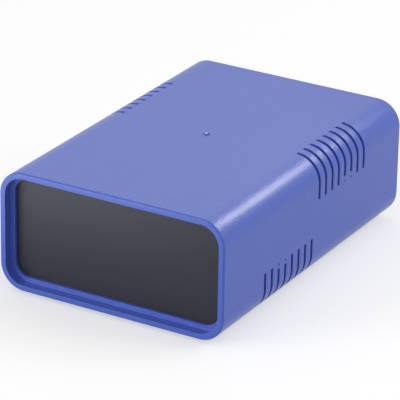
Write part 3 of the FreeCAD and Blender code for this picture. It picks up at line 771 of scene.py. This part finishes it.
def lower_half(shell, bm):
    """The shared half turned over, with board pillars, screw wells and seats for the feet."""
    bmesh.ops.rotate(bm, cent=(0, 0, 0), matrix=TURN_OVER, verts=bm.verts)
    floor = -shell.height / 2
    roof = floor + shell.sizes.wall
    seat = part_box("circuit_board")[0].z - MID_Z
    post = [(0, 0), (POST_R, 0), (POST_R, roof - ROOT), (0, roof - ROOT)]
    pillar = [(0, seat), (PILLAR_R, seat), (PILLAR_R, roof - ROOT), (0, roof - ROOT)]
    solids = columns(pillar_places(), pillar, columns(post_places(), post))
    strips = tongues(shell, 0, ROOT)
    bmesh.ops.rotate(strips, cent=(0, 0, 0), matrix=TURN_OVER, verts=strips.verts)
    bm = combined(bm, joined(solids, strips), "UNION")
    well = [(0, ROOT), (CLEARANCE_R, ROOT), (CLEARANCE_R, LEDGE_Z), (WELL_R, LEDGE_Z)]
    well += [(WELL_R, floor + MOUTH), (WELL_R + 2 * MOUTH, floor - MOUTH), (0, floor - MOUTH)]
    tools = columns(post_places(), well)
    pilot = [(0, seat + ROOT), (BOARD_PILOT_R, seat + ROOT), (BOARD_PILOT_R, roof), (0, roof)]
    columns(pillar_places(), pilot, tools)
    feet = [((low + high) / 2).to_2d() for low, high in islands("rubber_feet")]
    top = floor + FOOT_SEAT
    foot_seat = [(0, top), (FOOT_SEAT_R, top), (FOOT_SEAT_R, floor - ROOT), (0, floor - ROOT)]
    columns(feet, foot_seat, tools)
    joined(tools, tongues(shell, TONGUE_GAP, ROOT))
    return combined(bm, tools, "DIFFERENCE")


def lifted(bm):
    """Puts a piece built about the middle of the case in its place."""
    middle = (CASE_LOW + CASE_HIGH) / 2
    bmesh.ops.translate(bm, vec=Vector((middle.x, middle.y, MID_Z)), verts=bm.verts)
    return bm


# Screws, feet and panels


def screw(place, axis, radius, run, head_r, head_h, pitch, bm=None):
    """A pan head screw with a cross recess: place is under the head, which lies along axis."""
    core = radius * 0.78
    tip = radius * 1.2
    crown = arc((head_r - 0.55 * head_h, 0.45 * head_h), 0.55 * head_h, 90, 0)
    profile = [(0, head_h), *crown, (head_r, 0.06 * head_h), (head_r * 0.97, 0), (core, 0)]
    solid = turned(profile + [(core, tip - run), (0, -run)], place, axis, 40)
    solid = combined(solid, recess(place + axis * head_h, axis, head_r), "DIFFERENCE")
    ridge = [(core * 0.96, -pitch * 0.36), (radius, 0), (core * 0.96, pitch * 0.36)]
    start = place - axis * (run - tip)
    turns = (run - tip - pitch) / pitch
    coiled(ridge, start, axis, pitch, turns, bm=solid)
    return joined(bm, solid) if bm else solid


def recess(top, axis, head_r):
    """A cross-shaped tool that narrows as it goes down into a screw head."""
    half, reach, depth = 0.17 * head_r, 0.62 * head_r, 0.5 * head_r
    bm = bmesh.new()
    verts = bmesh.ops.create_cube(bm, size=2 * half)["verts"]
    bmesh.ops.scale(bm, vec=(1, 1, depth / half), verts=verts)
    sides = [f for f in bm.faces if abs(f.normal.z) < 0.5]
    for face in sides:
        out = face.normal.copy()
        made = bmesh.ops.extrude_face_region(bm, geom=[face])["geom"]
        arm = [g for g in made if isinstance(g, bmesh.types.BMVert)]
        bmesh.ops.translate(bm, vec=out * (reach - half), verts=arm)
        bmesh.ops.delete(bm, geom=[face], context="FACES")
    low = [v for v in bm.verts if v.co.z < 0]
    bmesh.ops.scale(bm, vec=(0.55, 0.55, 1), verts=low)
    bmesh.ops.recalc_face_normals(bm, faces=bm.faces)
    turn = axis.to_track_quat("Z", "Y").to_matrix()
    bmesh.ops.rotate(bm, cent=(0, 0, 0), matrix=turn, verts=bm.verts)
    bmesh.ops.translate(bm, vec=top, verts=bm.verts)
    return bm


def screw_group(name, axis, head_h, pitch):
    """Screws in the places of a CAD group, with its sizes."""
    bm = bmesh.new()
    for low, high in islands(name):
        middle = (low + high) / 2
        size = high - low
        along = abs(size.dot(axis))
        head_r = min(abs(size.dot(a)) for a in (X_AXIS, Y_AXIS, Z_AXIS) if abs(a.dot(axis)) < 0.5) / 2
        place = middle + axis * (along / 2 - head_h)
        screw(place, axis, SCREW_RADII[name], along - head_h, head_r, head_h, pitch, bm)
    return bm


SCREW_RADII = {"case_screws": 1.5 * MM, "board_screws": 1.2 * MM, "xlr_screws": 1.5 * MM}


def feet():
    """Round rubber feet: a slightly tapered disc with a rounded rim and a shallow dish below."""
    bm = bmesh.new()
    for low, high in islands("rubber_feet"):
        middle = (low + high) / 2
        r = (high.x - low.x) / 2
        t = high.z - low.z
        rim = arc((r - 0.5 * MM, 0.5 * MM), 0.5 * MM, -90, 0)
        dish = [(0, 0.25 * MM), (0.45 * r, 0.25 * MM), (0.6 * r, 0)]
        turned(dish + rim + [(r, t), (0, t)], Vector((middle.x, middle.y, low.z)), Z_AXIS, 48, bm)
    return bm


def panel(name, corner):
    """A flat sheet with rounded corners."""
    low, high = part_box(name)
    bm = bar(low, high, Y_AXIS, corner, 12)
    return bm


# Connectors


def drilled(bm, places, radius, start, end):
    """Holes along Y through a sheet, with broken edges: places are (x, z)."""
    tools = bmesh.new()
    rim = 0.12 * MM
    for x, z in places:
        profile = [(0, start - rim), (radius + 2 * rim, start - rim), (radius, start + rim)]
        profile += [(radius, end - rim), (radius + 2 * rim, end + rim), (0, end + rim)]
        turned(profile, Vector((x, 0, z)), Y_AXIS, 48, tools)
    return combined(bm, tools, "DIFFERENCE")


def threaded_bush(name):
    """The bush of a jack socket: a turned tube with a rolled thread on its nose."""
    low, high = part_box(name)
    middle = (low + high) / 2
    base = Vector((middle.x, low.y, middle.z))
    run = high.y - low.y
    outer = (high.x - low.x) / 2
    core = outer - 0.32 * MM
    bore = BORE_R
    mouth = arc((bore + 0.5 * MM, run - 0.5 * MM), 0.5 * MM, 180, 90, 4)
    profile = [(bore, 0), *mouth, (core - 0.1 * MM, run), (core, run - 0.2 * MM), (core, 0)]
    bm = turned(profile, base, Y_AXIS, 48)
    pitch = 0.75 * MM
    ridge = [(core - 0.03 * MM, -0.42 * pitch), (outer, 0), (core - 0.03 * MM, 0.42 * pitch)]
    turns = (run - 1.4 * MM) / pitch
    return coiled(ridge, base + Y_AXIS * 0.7 * MM, Y_AXIS, pitch, turns, 36, bm)


BORE_R = 3.25 * MM


def jack_nut(name):
    """A hexagon nut with both rims chamfered off, and a round hole for the bush."""
    low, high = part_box(name)
    middle = (low + high) / 2
    start, end = low.y, high.y
    flats = min(high.x - low.x, high.z - low.z)
    centre = Vector((middle.x, 0, middle.z))
    bm = hexagon(flats, start, end, centre)
    inner = flats / 2 * 0.98
    outer = flats / 2 * 1.16
    thick = end - start
    chamfer = (outer - inner) * 0.6
    cone = [(0, start), (outer, start), (outer, end - chamfer), (inner, end), (0, end)]
    if thick > MM:
        cone = [(0, start), (inner, start), (outer, start + chamfer), *cone[2:]]
    bm = combined(bm, turned(cone, centre, Y_AXIS, 64), "INTERSECT")
    hole = (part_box(name.replace("nut", "bush"))[1].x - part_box(name.replace("nut", "bush"))[0].x) / 2
    return drilled(bm, [(middle.x, middle.z)], hole + 0.03 * MM, start, end)


def washer(name, hole):
    """A pressed washer with a slightly rounded rim."""
    low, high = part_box(name)
    middle = (low + high) / 2
    outer, t = (high.x - low.x) / 2, high.y - low.y
    rim = arc((outer - t / 2, t / 2), t / 2, -90, 90, 6)
    return turned([(hole, 0), *rim, (hole, t)], Vector((middle.x, low.y, middle.z)), Y_AXIS, 64)


def xlr_shell(sizes):
    """The cast flange and cup of the XLR: a raised ring round the mouth, a key rib below and the
    latch's notch above."""
    low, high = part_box("xlr_housing")
    panel_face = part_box("rear_panel")[1].y
    middle = Vector(((low.x + high.x) / 2, 0, (low.z + high.z) / 2))
    flange_end = panel_face + sizes.flange_t
    flange = bar((low.x, panel_face, low.z), (high.x, flange_end, high.z), Y_AXIS, sizes.flange_corner, 10)
    flange_rim = [e for e in sharp_edges(flange) if e.verts[0].co.y > flange_end - TINY]
    bevelled(flange, flange_rim, 0.35 * MM, 3)
    root = flange_end - 0.5 * MM
    ring_rim = arc((sizes.ring - 0.5 * MM, high.y - 0.5 * MM), 0.5 * MM, 0, 90, 5)
    ring = [(0, root), (sizes.ring, root), *ring_rim, (0, high.y)]
    cup = [(0, low.y), (sizes.cup, low.y), (sizes.cup, panel_face + 0.5 * MM), (0, panel_face + 0.5 * MM)]
    bm = combined(flange, turned(ring, middle, Y_AXIS, 72), "UNION")
    bm = combined(bm, turned(cup, middle, Y_AXIS, 72), "UNION")
    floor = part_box("xlr_insert")[1].y
    mouth = arc((sizes.cavity + 0.6 * MM, high.y - 0.6 * MM), 0.6 * MM, 180, 90, 5)
    back = (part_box("xlr_insert")[1].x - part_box("xlr_insert")[0].x) / 2
    bore = [(0, low.y - MM), (back, low.y - MM), (back, floor), (sizes.cavity, floor)]
    bore += [*mouth, (sizes.cavity + 0.6 * MM, high.y + MM), (0, high.y + MM)]
    bm = combined(bm, turned(bore, middle, Y_AXIS, 72), "DIFFERENCE")
    key_h = 0.9 * MM
    foot = middle.z - sizes.cavity
    key = bar(
        (middle.x - 1.1 * MM, floor, foot - 0.5 * MM),
        (middle.x + 1.1 * MM, high.y - 2 * MM, foot + key_h),
        Y_AXIS,
        0.3 * MM,
        3,
    )
    bm = combined(bm, key, "UNION")
    crest = middle.z + sizes.cavity
    notch = bar(
        (middle.x - 2.5 * MM, high.y - 6.5 * MM, crest - MM),
        (middle.x + 2.5 * MM, high.y - 2.5 * MM, crest + 0.9 * MM),
        Z_AXIS,
        0.4 * MM,
        3,
    )
    bm = combined(bm, notch, "DIFFERENCE")
    places = [((a.x + b.x) / 2, (a.z + b.z) / 2) for a, b in islands("xlr_screws")]
    return drilled(bm, places, 1.6 * MM, panel_face, flange_end)


class XlrSizes(bpy.types.PropertyGroup):
    """The XLR output."""

    flange_t: length("Flange", 2.0, "Thickness of the flange")
    flange_corner: length("Flange corner", 4.0, "Radius of the flange's corners")
    ring: length("Ring", 11.0, "Radius of the raised ring")
    cup: length("Cup", 11.6, "Radius of the cup behind the panel")
    cavity: length("Cavity", 8.2, "Radius of the cavity that takes the plug")


def xlr_pins():
    """Three turned pins with domed tips, and the thin legs bent down to the board."""
    bm = bmesh.new()
    insert_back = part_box("xlr_insert")[0].y
    r, leg_r = 1.2 * MM, 0.5 * MM
    for low, high in islands("xlr_pins"):
        x, z = (low.x + high.x) / 2, high.z - r
        tip = high.y
        base = Vector((x, low.y, z))
        run = tip - low.y
        dome = arc((0, run - r), r, 0, 90, 8)
        turned([(0, 0), (r - 0.15 * MM, 0), (r, 0.15 * MM), *dome[:-1], (0, run)], base, Y_AXIS, 32, bm)
        leg_y = insert_back - 1.2 * MM
        leg = [(0, 0), (0.6 * leg_r, 0), (leg_r, 0.4 * MM), (leg_r, z - low.z), (0, z - low.z)]
        turned(leg, Vector((x, leg_y, low.z)), Z_AXIS, 20, bm)
    return bm


# Switches


def button_cap(name):
    """A round push button: dished face, rounded rim, and a socket for the plunger."""
    low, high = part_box(name)
    middle = (low + high) / 2
    r, run = (high.x - low.x) / 2, high.y - low.y
    rim_r = 0.5 * MM
    dish_r = 2.45 * MM
    dish = 0.35 * MM
    hollow = [(dish_r * i / 6, run - dish * (1 - (i / 6) ** 2)) for i in range(7)]
    rim = arc((r - rim_r, run - rim_r), rim_r, 90, 0, 5)
    socket_r, socket = 1.55 * MM, 3.5 * MM
    profile = [*hollow, *rim, (r, 0.2 * MM), (r - 0.2 * MM, 0)]
    profile += [(socket_r, 0), (socket_r, socket), (0, socket)]
    return turned(profile, Vector((middle.x, low.y, middle.z)), Y_AXIS, 56)


def plunger(name):
    """The switch's rod, with chamfered ends."""
    low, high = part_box(name)
    middle = (low + high) / 2
    r, run = (high.x - low.x) / 2, high.y - low.y
    edge = 0.2 * MM
    profile = [(0, 0), (r - edge, 0), (r, edge), (r, run - edge), (r - edge, run), (0, run)]
    return turned(profile, Vector((middle.x, low.y, middle.z)), Y_AXIS, 32)


def spring(name):
    """A coil spring of round wire."""
    low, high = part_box(name)
    middle = (low + high) / 2
    wire = 0.18 * MM
    radius = (high.x - low.x) / 2 - wire
    angles = [i * math.pi / 4 for i in range(8)]
    section = [(radius + wire * math.cos(a), wire * math.sin(a)) for a in angles]
    start = Vector((middle.x, low.y + wire, middle.z))
    turns = 3
    pitch = (high.y - low.y - 2 * wire) / turns
    return coiled(section, start, Y_AXIS, pitch, turns, 28)


# Board


def solder_joints():
    """A small cone of solder round every pin under the board, hollow-sided and cut at the pin."""
    bm = bmesh.new()
    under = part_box("circuit_board")[0].z
    for name in SOLDERED:
        for low, high in islands(name):
            for x, y, r in tails(name, low, high):
                pad = r + 0.55 * MM
                rise = min(0.9 * MM, under - low.z - 0.1 * MM)
                side = [(pad, 0), (pad, 0.06 * MM), (r + 0.25 * MM, 0.3 * rise), (r, rise)]
                profile = [(0, 0), *[(radius, h) for radius, h in side], (0, rise)]
                turned(profile, Vector((x, y, under)), -Z_AXIS, 20, bm)
    return bm


SOLDERED = (
    "input_jack_contacts",
    "link_jack_contacts",
    "switch_terminals",
    "xlr_pins",
    "transformer_pins",
    "resistor_leads",
    "lift_capacitor_leads",
)


def tails(name, low, high):
    """Where a solid's leg goes through the board, and its rough radius."""
    mesh = frame["nodes"][name].data
    near = [
        v.co
        for v in mesh.vertices
        if v.co.z < low.z + 0.2 * MM
        and low.x - TINY < v.co.x < high.x + TINY
        and low.y - TINY < v.co.y < high.y + TINY
    ]
    xs, ys = [c.x for c in near], [c.y for c in near]
    radius = min(max(xs) - min(xs), max(ys) - min(ys)) / 2
    return [((max(xs) + min(xs)) / 2, (max(ys) + min(ys)) / 2, max(radius, 0.2 * MM))]


TRACK_W, TRACK_T = 0.9 * MM, 0.07 * MM

# Each track runs along X and Y from pin to pin, in mm on the board, under it or on top
TRACKS_UNDER = (
    ((27, 50.6), (8.2, 50.6), (3.4, 50.6)),
    ((39, 44), (20.2, 44)),
    ((30.75, 0), (30.75, 12), (24, 12), (24, 43.1)),
    ((-1.6, 47), (-1.6, 41), (16, 41), (16, -14), (-17, -14), (-17, -10), (-21.9, -10)),
    ((-32.1, -10), (-32.1, -5)),
    ((-21.9, -5), (-21.9, 0)),
    ((-32.1, 0), (-32.1, 5)),
    ((-21.9, 5), (-21.9, 10)),
    ((-21.9, 0), (-10, 0), (-10, 3)),
    ((-28, 45.3), (-28, 38), (14, 38), (14, 9), (10, 9)),
    ((-31.8, 45.3), (-31.8, 36), (12.5, 36), (12.5, 15), (10, 15)),
    ((-24.2, 45.3), (-24.2, 50), (-11.8, 50)),
    ((-6.8, 42), (-6.8, 47)),
)
TRACKS_ON_TOP = (((23.25, 0), (23.25, 30), (-6.8, 30), (-6.8, 42)),)


def tracks():
    """Flat tracks on both faces of the board, each run butted against the last one's end."""
    bm = bmesh.new()
    low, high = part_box("circuit_board")
    half = TRACK_W / 2
    for base, paths in ((low.z - TRACK_T, TRACKS_UNDER), (high.z, TRACKS_ON_TOP)):
        for path in paths:
            points = [Vector((x * MM, y * MM, base)) for x, y in path]
            for index, (start, end) in enumerate(zip(points, points[1:])):
                along = (end - start).normalized()
                across = Vector((along.y, along.x, 0)) * half
                near = start + along * (half if index else -half)
                corners = [near - across, near + across]
                corners += [end + along * half - across, end + along * half + across]
                xs, ys = [c.x for c in corners], [c.y for c in corners]
                bar((min(xs), min(ys), base), (max(xs), max(ys), base + TRACK_T), Z_AXIS, bm=bm)
    return bm


def resistors():
    """Axial resistors: a body bulged over its end caps, with five colour bands."""
    bm = bmesh.new()
    for index, (low, high) in enumerate(islands("resistor_bodies")):
        middle = (low + high) / 2
        r, half = (high.z - low.z) / 2, (high.x - low.x) / 2
        waist = 0.84 * r
        cap = arc((r - 0.45 * r, half - 0.45 * r), 0.45 * r, 90, 0, 4)
        side = [(0, half), *cap, (r, half * 0.62), (waist, half * 0.5)]
        edges = [half * 0.5 * k for k in (0.8, 0.6, 0.4, 0.2, 0.0)]
        right = side + [(waist, x) for x in edges]
        left = [(radius, -x) for radius, x in reversed(right[:-1])]
        before = set(bm.faces)
        turned(right + left, middle, X_AXIS, 28, bm)
        for face in set(bm.faces) - before:
            offset = face.calc_center_median().x - middle.x
            step = (offset / (half * 0.5) + 1) * 5
            if 0 < step < 10 and int(step) % 2 == 0:
                face.material_index = RESISTOR_BANDS[index][int(step) // 2]
    return bm


RESISTOR_BANDS = ((1, 2, 3, 3, 4), (2, 1, 3, 3, 4), (3, 2, 1, 2, 4), (1, 1, 2, 3, 4), (2, 3, 3, 1, 4))


def screening_can():
    """A drawn can: rounded corners and crown, open below, with a thin wall."""
    low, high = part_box("transformer_can")
    wall = 0.8 * MM
    bm = bar(low, high, Z_AXIS, 3 * MM, 8)
    crown_edges = [e for e in sharp_edges(bm) if min(v.co.z for v in e.verts) > high.z - TINY]
    bevelled(bm, crown_edges, 1.2 * MM, 5)
    room_low = (low.x + wall, low.y + wall, low.z - MM)
    room = bar(room_low, (high.x - wall, high.y - wall, high.z - wall), Z_AXIS, 2.2 * MM, 8)
    return combined(bm, room, "DIFFERENCE")


# Stage


class StageSettings(bpy.types.PropertyGroup):
    """The camera and the lamps."""

    azimuth: FloatProperty(name="Azimuth", default=29.891, description="Camera round the case, in degrees")
    elevation: FloatProperty(
        name="Elevation", default=23.613, description="Camera above the case, in degrees"
    )
    roll: FloatProperty(
        name="Roll", default=1.02, description="Turn of the camera about its axis, in degrees"
    )
    distance: FloatProperty(name="Distance", default=1.0262, description="Camera to its aim", unit="LENGTH")
    lens: FloatProperty(name="Lens", default=263.7, description="Focal length in millimetres")
    aim_x: length("Aim across", 37.189, "The aim, right of the middle of the case")
    aim_z: length("Aim height", 56.006, "The aim, above the floor")


def camera(stage):
    azimuth, elevation = math.radians(stage.azimuth), math.radians(stage.elevation)
    level = math.cos(elevation)
    back = Vector((math.sin(azimuth) * level, -math.cos(azimuth) * level, math.sin(elevation)))
    data = bpy.data.cameras.new("camera")
    data.lens = stage.lens
    data.sensor_width = 36
    data.clip_start = 0.05
    data.clip_end = 20
    obj = bpy.data.objects.new("camera", data)
    bpy.context.scene.collection.objects.link(obj)
    aim = Vector((stage.aim_x, CASE_LOW.y, stage.aim_z))
    turn = back.to_track_quat("Z", "Y") @ Matrix.Rotation(math.radians(stage.roll), 4, "Z").to_quaternion()
    obj.matrix_world = Matrix.Translation(aim + back * stage.distance) @ turn.to_matrix().to_4x4()
    bpy.context.scene.camera = obj


def seen_directly(tree):
    """1 for rays that come straight from the camera, a mirror or a clear material."""
    path = add_node(tree, "ShaderNodeLightPath", {}).outputs
    shiny = add_node(
        tree,
        "ShaderNodeMath",
        {0: path["Is Glossy Ray"], 1: path["Is Transmission Ray"]},
        operation="MAXIMUM",
    ).outputs[0]
    return add_node(
        tree, "ShaderNodeMath", {0: path["Is Camera Ray"], 1: shiny}, operation="MAXIMUM"
    ).outputs[0]


def floor():
    """A plain pale sheet, lifted to white where it is seen, which keeps the shadow."""
    bm = bmesh.new()
    bmesh.ops.create_grid(bm, x_segments=1, y_segments=1, size=4)
    mesh = bpy.data.meshes.new("floor")
    bm.to_mesh(mesh)
    bm.free()
    obj = bpy.data.objects.new("floor", mesh)
    bpy.context.scene.collection.objects.link(obj)
    material, tree, shader = new_material("paper_white")
    set_shader(shader, (0.58, 0.58, 0.58, 1), 0.9, specular=0.0)
    lift = add_node(
        tree, "ShaderNodeMath", {0: seen_directly(tree), 1: FLOOR_LIFT}, operation="MULTIPLY"
    ).outputs[0]
    shader.inputs["Emission Color"].default_value = (1, 1, 1, 1)
    tree.links.new(lift, shader.inputs["Emission Strength"])
    mesh.materials.append(material)


FLOOR_LIFT = 0.5
WORLD_LEVEL = 0.58


def world():
    """Even white light from all round, and a white background where it is seen."""
    scene_world = bpy.data.worlds.new("studio")
    scene_world.use_nodes = True
    tree = scene_world.node_tree
    strength = add_node(
        tree,
        "ShaderNodeMapRange",
        {"Value": seen_directly(tree), "To Min": WORLD_LEVEL, "To Max": 1.0},
    ).outputs["Result"]
    background = tree.nodes["Background"]
    background.inputs["Color"].default_value = (1, 1, 1, 1)
    tree.links.new(strength, background.inputs["Strength"])
    bpy.context.scene.world = scene_world


def softbox(name, place, aim, size, power, mirrored_only=False, tint=(1, 1, 1)):
    """A square lamp at a place, turned to its aim."""
    data = bpy.data.lights.new(name, "AREA")
    data.color = tint
    data.shape = "RECTANGLE"
    data.size, data.size_y = size
    data.energy = power
    obj = bpy.data.objects.new(name, data)
    bpy.context.scene.collection.objects.link(obj)
    place, aim = Vector(place), Vector(aim)
    turn = (place - aim).to_track_quat("Z", "Y").to_matrix().to_4x4()
    obj.matrix_world = Matrix.Translation(place) @ turn
    obj.visible_camera = False
    obj.visible_diffuse = not mirrored_only
    return obj


# Operators


class DI_OT_shells(bpy.types.Operator):
    """Mould the two half shells of the case"""

    bl_idname = "di_box.shells"
    bl_label = "Half shells"

    def execute(self, context):
        scene = context.scene
        # The second finish paints a highlight on the gate's stub
        finishes = [spark_eroded_abs(scene.finishes), stub_painted_highlight(scene.finishes)]
        shell = HalfShell(scene.case_sizes, scene.vent_sizes)
        half = shell.half()
        upper = shell.with_stub_highlight_finish(upper_half(shell, half.copy()))
        piece("shell_upper", lifted(upper), finishes, ["upper_shell"])
        lower = shell.with_stub_highlight_finish(lower_half(shell, half))
        piece("shell_lower", lifted(lower), finishes, ["lower_shell"])
        return {"FINISHED"}


class DI_OT_panels(bpy.types.Operator):
    """Cut the front and rear panels"""

    bl_idname = "di_box.panels"
    bl_label = "Panels"

    def execute(self, context):
        scene = context.scene
        finish = satin_sheet(scene.finishes)
        corner = scene.case_sizes.corner - scene.case_sizes.wall
        front = panel("front_panel", corner)
        bevelled(front, sharp_edges(front), 0.15 * MM)
        piece("panel_front", front, finish, ["front_panel"])
        low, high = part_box("rear_panel")
        rear = panel("rear_panel", corner)
        bevelled(rear, sharp_edges(rear), 0.15 * MM)
        places = {name: centre_of(name) for name in ("input_jack_bush", "link_jack_bush")}
        rear = drilled(rear, [(p.x, p.z) for p in places.values()], 4.9 * MM, low.y, high.y)
        buttons = [centre_of(name) for name in ("ground_lift_button", "pad_button")]
        rear = drilled(rear, [(p.x, p.z) for p in buttons], 3.55 * MM, low.y, high.y)
        cup = centre_of("xlr_insert")
        rear = drilled(rear, [(cup.x, cup.z)], 12 * MM, low.y, high.y)
        screws = [(a + b) / 2 for a, b in islands("xlr_screws")]
        rear = drilled(rear, [(p.x, p.z) for p in screws], 1.6 * MM, low.y, high.y)
        piece("panel_rear", rear, finish, ["rear_panel"])
        return {"FINISHED"}


class DI_OT_fasteners(bpy.types.Operator):
    """Make the screws and the rubber feet"""

    bl_idname = "di_box.fasteners"
    bl_label = "Screws and feet"

    def execute(self, context):
        steel = zinc_plated_steel()
        piece("feet_round", feet(), moulded_rubber(), ["rubber_feet"])
        groups = {
            "case_screws": (-Z_AXIS, 2.2 * MM, 1.35 * MM),
            "board_screws": (Z_AXIS, 1.5 * MM, 1.1 * MM),
            "xlr_screws": (Y_AXIS, 1.6 * MM, 0.5 * MM),
        }
        for name, (axis, head_h, pitch) in groups.items():
            piece(name + "_threaded", screw_group(name, axis, head_h, pitch), steel, [name])
        frame["nodes"]["xlr_nuts"].material_slots[0].material = steel
        return {"FINISHED"}


class DI_OT_jacks(bpy.types.Operator):
    """Make the two jack sockets"""

    bl_idname = "di_box.jacks"
    bl_label = "Jack sockets"

    def execute(self, context):
        nickel = nickel_plated_brass()
        nylon = glass_filled_nylon()
        silver = silvered_contact()
        for jack in ("input_jack", "link_jack"):
            bush, nut, ring = (f"{jack}_{part}" for part in ("bush", "nut", "washer"))
            piece(bush + "_turned", threaded_bush(bush), nickel, [bush])
            piece(nut + "_hex", jack_nut(nut), nickel, [nut])
            piece(ring + "_flat", washer(ring, 4.9 * MM), nickel, [ring])
            frame["nodes"][jack + "_body"].material_slots[0].material = nylon
            frame["nodes"][jack + "_contacts"].material_slots[0].material = silver
        return {"FINISHED"}


class DI_OT_xlr(bpy.types.Operator):
    """Make the XLR output"""

    bl_idname = "di_box.xlr"
    bl_label = "XLR output"

    def execute(self, context):
        housing = xlr_shell(context.scene.xlr_sizes)
        piece("xlr_shell", housing, nickel_plated_casting(), ["xlr_housing"])
        low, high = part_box("xlr_insert")
        middle = centre_of("xlr_insert")
        r, t = (high.x - low.x) / 2, high.y - low.y
        disc = turned([(0, 0), (r, 0), (r, t), (0, t)], Vector((middle.x, low.y, middle.z)), Y_AXIS, 64)
        pins = [((a.x + b.x) / 2, b.z - 1.2 * MM) for a, b in islands("xlr_pins")]
        disc = drilled(disc, pins, 1.2 * MM, low.y, high.y)
        nylon = bpy.data.materials["nylon_glass_filled_black"]
        piece("xlr_insert_disc", disc, nylon, ["xlr_insert"])
        silver = bpy.data.materials["brass_silver_plated"]
        piece("xlr_contact_pins", xlr_pins(), silver, ["xlr_pins"])
        return {"FINISHED"}


class DI_OT_switches(bpy.types.Operator):
    """Make the two push switches"""

    bl_idname = "di_box.switches"
    bl_label = "Push switches"

    def execute(self, context):
        cap = moulded_button(context.scene.finishes)
        wire = spring_wire()
        for joint in frame["joints"]:
            body = joint["child"]
            switch = body.removesuffix("_button")
            piece(body + "_cap", button_cap(body), cap, [body], body)
            rod = switch + "_plunger"
            piece(rod + "_rod", plunger(rod), cap, [rod], body)
            coil = switch + "_spring"
            made = piece(coil + "_coil", spring(coil), wire, [coil], weighted=False)
            anchor = centre_of(coil)
            anchor.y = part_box(switch + "_switch_body")[1].y
            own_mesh(made)
            nylon = bpy.data.materials["nylon_glass_filled_black"]
            frame["nodes"][switch + "_switch_body"].material_slots[0].material = nylon
        silver = bpy.data.materials["brass_silver_plated"]
        frame["nodes"]["switch_terminals"].material_slots[0].material = silver
        return {"FINISHED"}


class DI_OT_board(bpy.types.Operator):
    """Dress the circuit board and what stands on it"""

    bl_idname = "di_box.board"
    bl_label = "Circuit board"

    def execute(self, context):
        nodes = frame["nodes"]
        nodes["circuit_board"].material_slots[0].material = masked_laminate(context.scene.finishes)
        piece("solder_joints", solder_joints(), soft_solder())
        piece("copper_tracks", tracks(), masked_copper(context.scene.finishes))
        bands = [lacquer("lacquer_" + name, code) for name, code in BAND_COLOURS.items()]
        piece("resistor_bodies_banded", resistors(), bands, ["resistor_bodies"])
        piece("transformer_can_drawn", screening_can(), drawn_can(), ["transformer_can"])
        nylon = moulded_nylon()
        silver = bpy.data.materials["brass_silver_plated"]
        finishes = {
            "transformer_core": core_laminations(),
            "transformer_winding": enamelled_copper(),
            "transformer_bobbin": nylon,
            "transformer_base": nylon,
            "transformer_pins": silver,
            "resistor_leads": silver,
            "lift_capacitor_leads": silver,
            "lift_capacitor": lacquer("epoxy_red", "8E2B20", 0.35),
        }
        for name, finish in finishes.items():
            nodes[name].material_slots[0].material = finish
        return {"FINISHED"}


BAND_COLOURS = {"blue": "6FA9C6", "brown": "5A3520", "black": "141414", "orange": "C8641E", "gold": "A8863A"}


class DI_OT_stage(bpy.types.Operator):
    """Set the floor, the lamps and the camera"""

    bl_idname = "di_box.stage"
    bl_label = "Stage"

    def execute(self, context):
        floor()
        world()
        middle = Vector((0, 0, 0.025))
        softbox("front_left", (-0.8, -1.12, 0.27), middle, (0.8, 0.8), 11.5)
        softbox("rear_right", (1.0, 0.56, 0.8), middle, (0.9, 0.9), 7.0)
        softbox("top_sheen", (-0.17, 0.2, 0.21), (0, -0.05, 0.049), (0.22, 0.16), 0.065, True)
        softbox("shoulder_sheen", (0.0, 0.205, 0.222), (0.04, -0.03, 0.048), (0.12, 0.1), 0.07, True)
        softbox(
            "edge_sheen", (0.097, 0.12, 0.158), (0.044, -0.033, 0.0465), (0.056, 0.05),
            0.215, True, (1, 0.96, 0.82)
        )
        softbox("front_sheen", (-0.055, -0.14, 0.02), (-0.02, -0.063, 0.04), (0.13, 0.07), 0.09, True)
        camera(context.scene.stage_settings)
        context.scene.view_settings.view_transform = "Standard"
        return {"FINISHED"}


PIECE_OPERATORS = (
    DI_OT_shells,
    DI_OT_panels,
    DI_OT_fasteners,
    DI_OT_jacks,
    DI_OT_xlr,
    DI_OT_switches,
    DI_OT_board,
    DI_OT_stage,
)


class DI_PT_panel(bpy.types.Panel):
    """Buttons for the pieces, and their sizes"""

    bl_idname = "DI_PT_panel"
    bl_label = "DI box"
    bl_space_type = "VIEW_3D"
    bl_region_type = "UI"
    bl_category = "DI box"

    def draw(self, context):
        for operator in PIECE_OPERATORS:
            self.layout.operator(operator.bl_idname)
        for group in GROUPS:
            settings = getattr(context.scene, group)
            for name in settings.bl_rna.properties.keys():
                if name not in ("rna_type", "name"):
                    self.layout.prop(settings, name)


GROUPS = {
    "case_sizes": CaseSizes,
    "vent_sizes": VentSizes,
    "xlr_sizes": XlrSizes,
    "finishes": Finishes,
    "stage_settings": StageSettings,
}
CLASSES = (*GROUPS.values(), *PIECE_OPERATORS, DI_PT_panel)


def register():
    for cls in CLASSES:
        bpy.utils.register_class(cls)
    for name, group in GROUPS.items():
        setattr(bpy.types.Scene, name, PointerProperty(type=group))


def unregister():
    for name in GROUPS:
        delattr(bpy.types.Scene, name)
    for cls in reversed(CLASSES):
        bpy.utils.unregister_class(cls)


def main():
    register()
    bpy.ops.di_box.shells()
    bpy.ops.di_box.panels()
    bpy.ops.di_box.fasteners()
    bpy.ops.di_box.jacks()
    bpy.ops.di_box.xlr()
    bpy.ops.di_box.switches()
    bpy.ops.di_box.board()
    bpy.ops.di_box.stage()


if __name__ == "__main__":
    main()
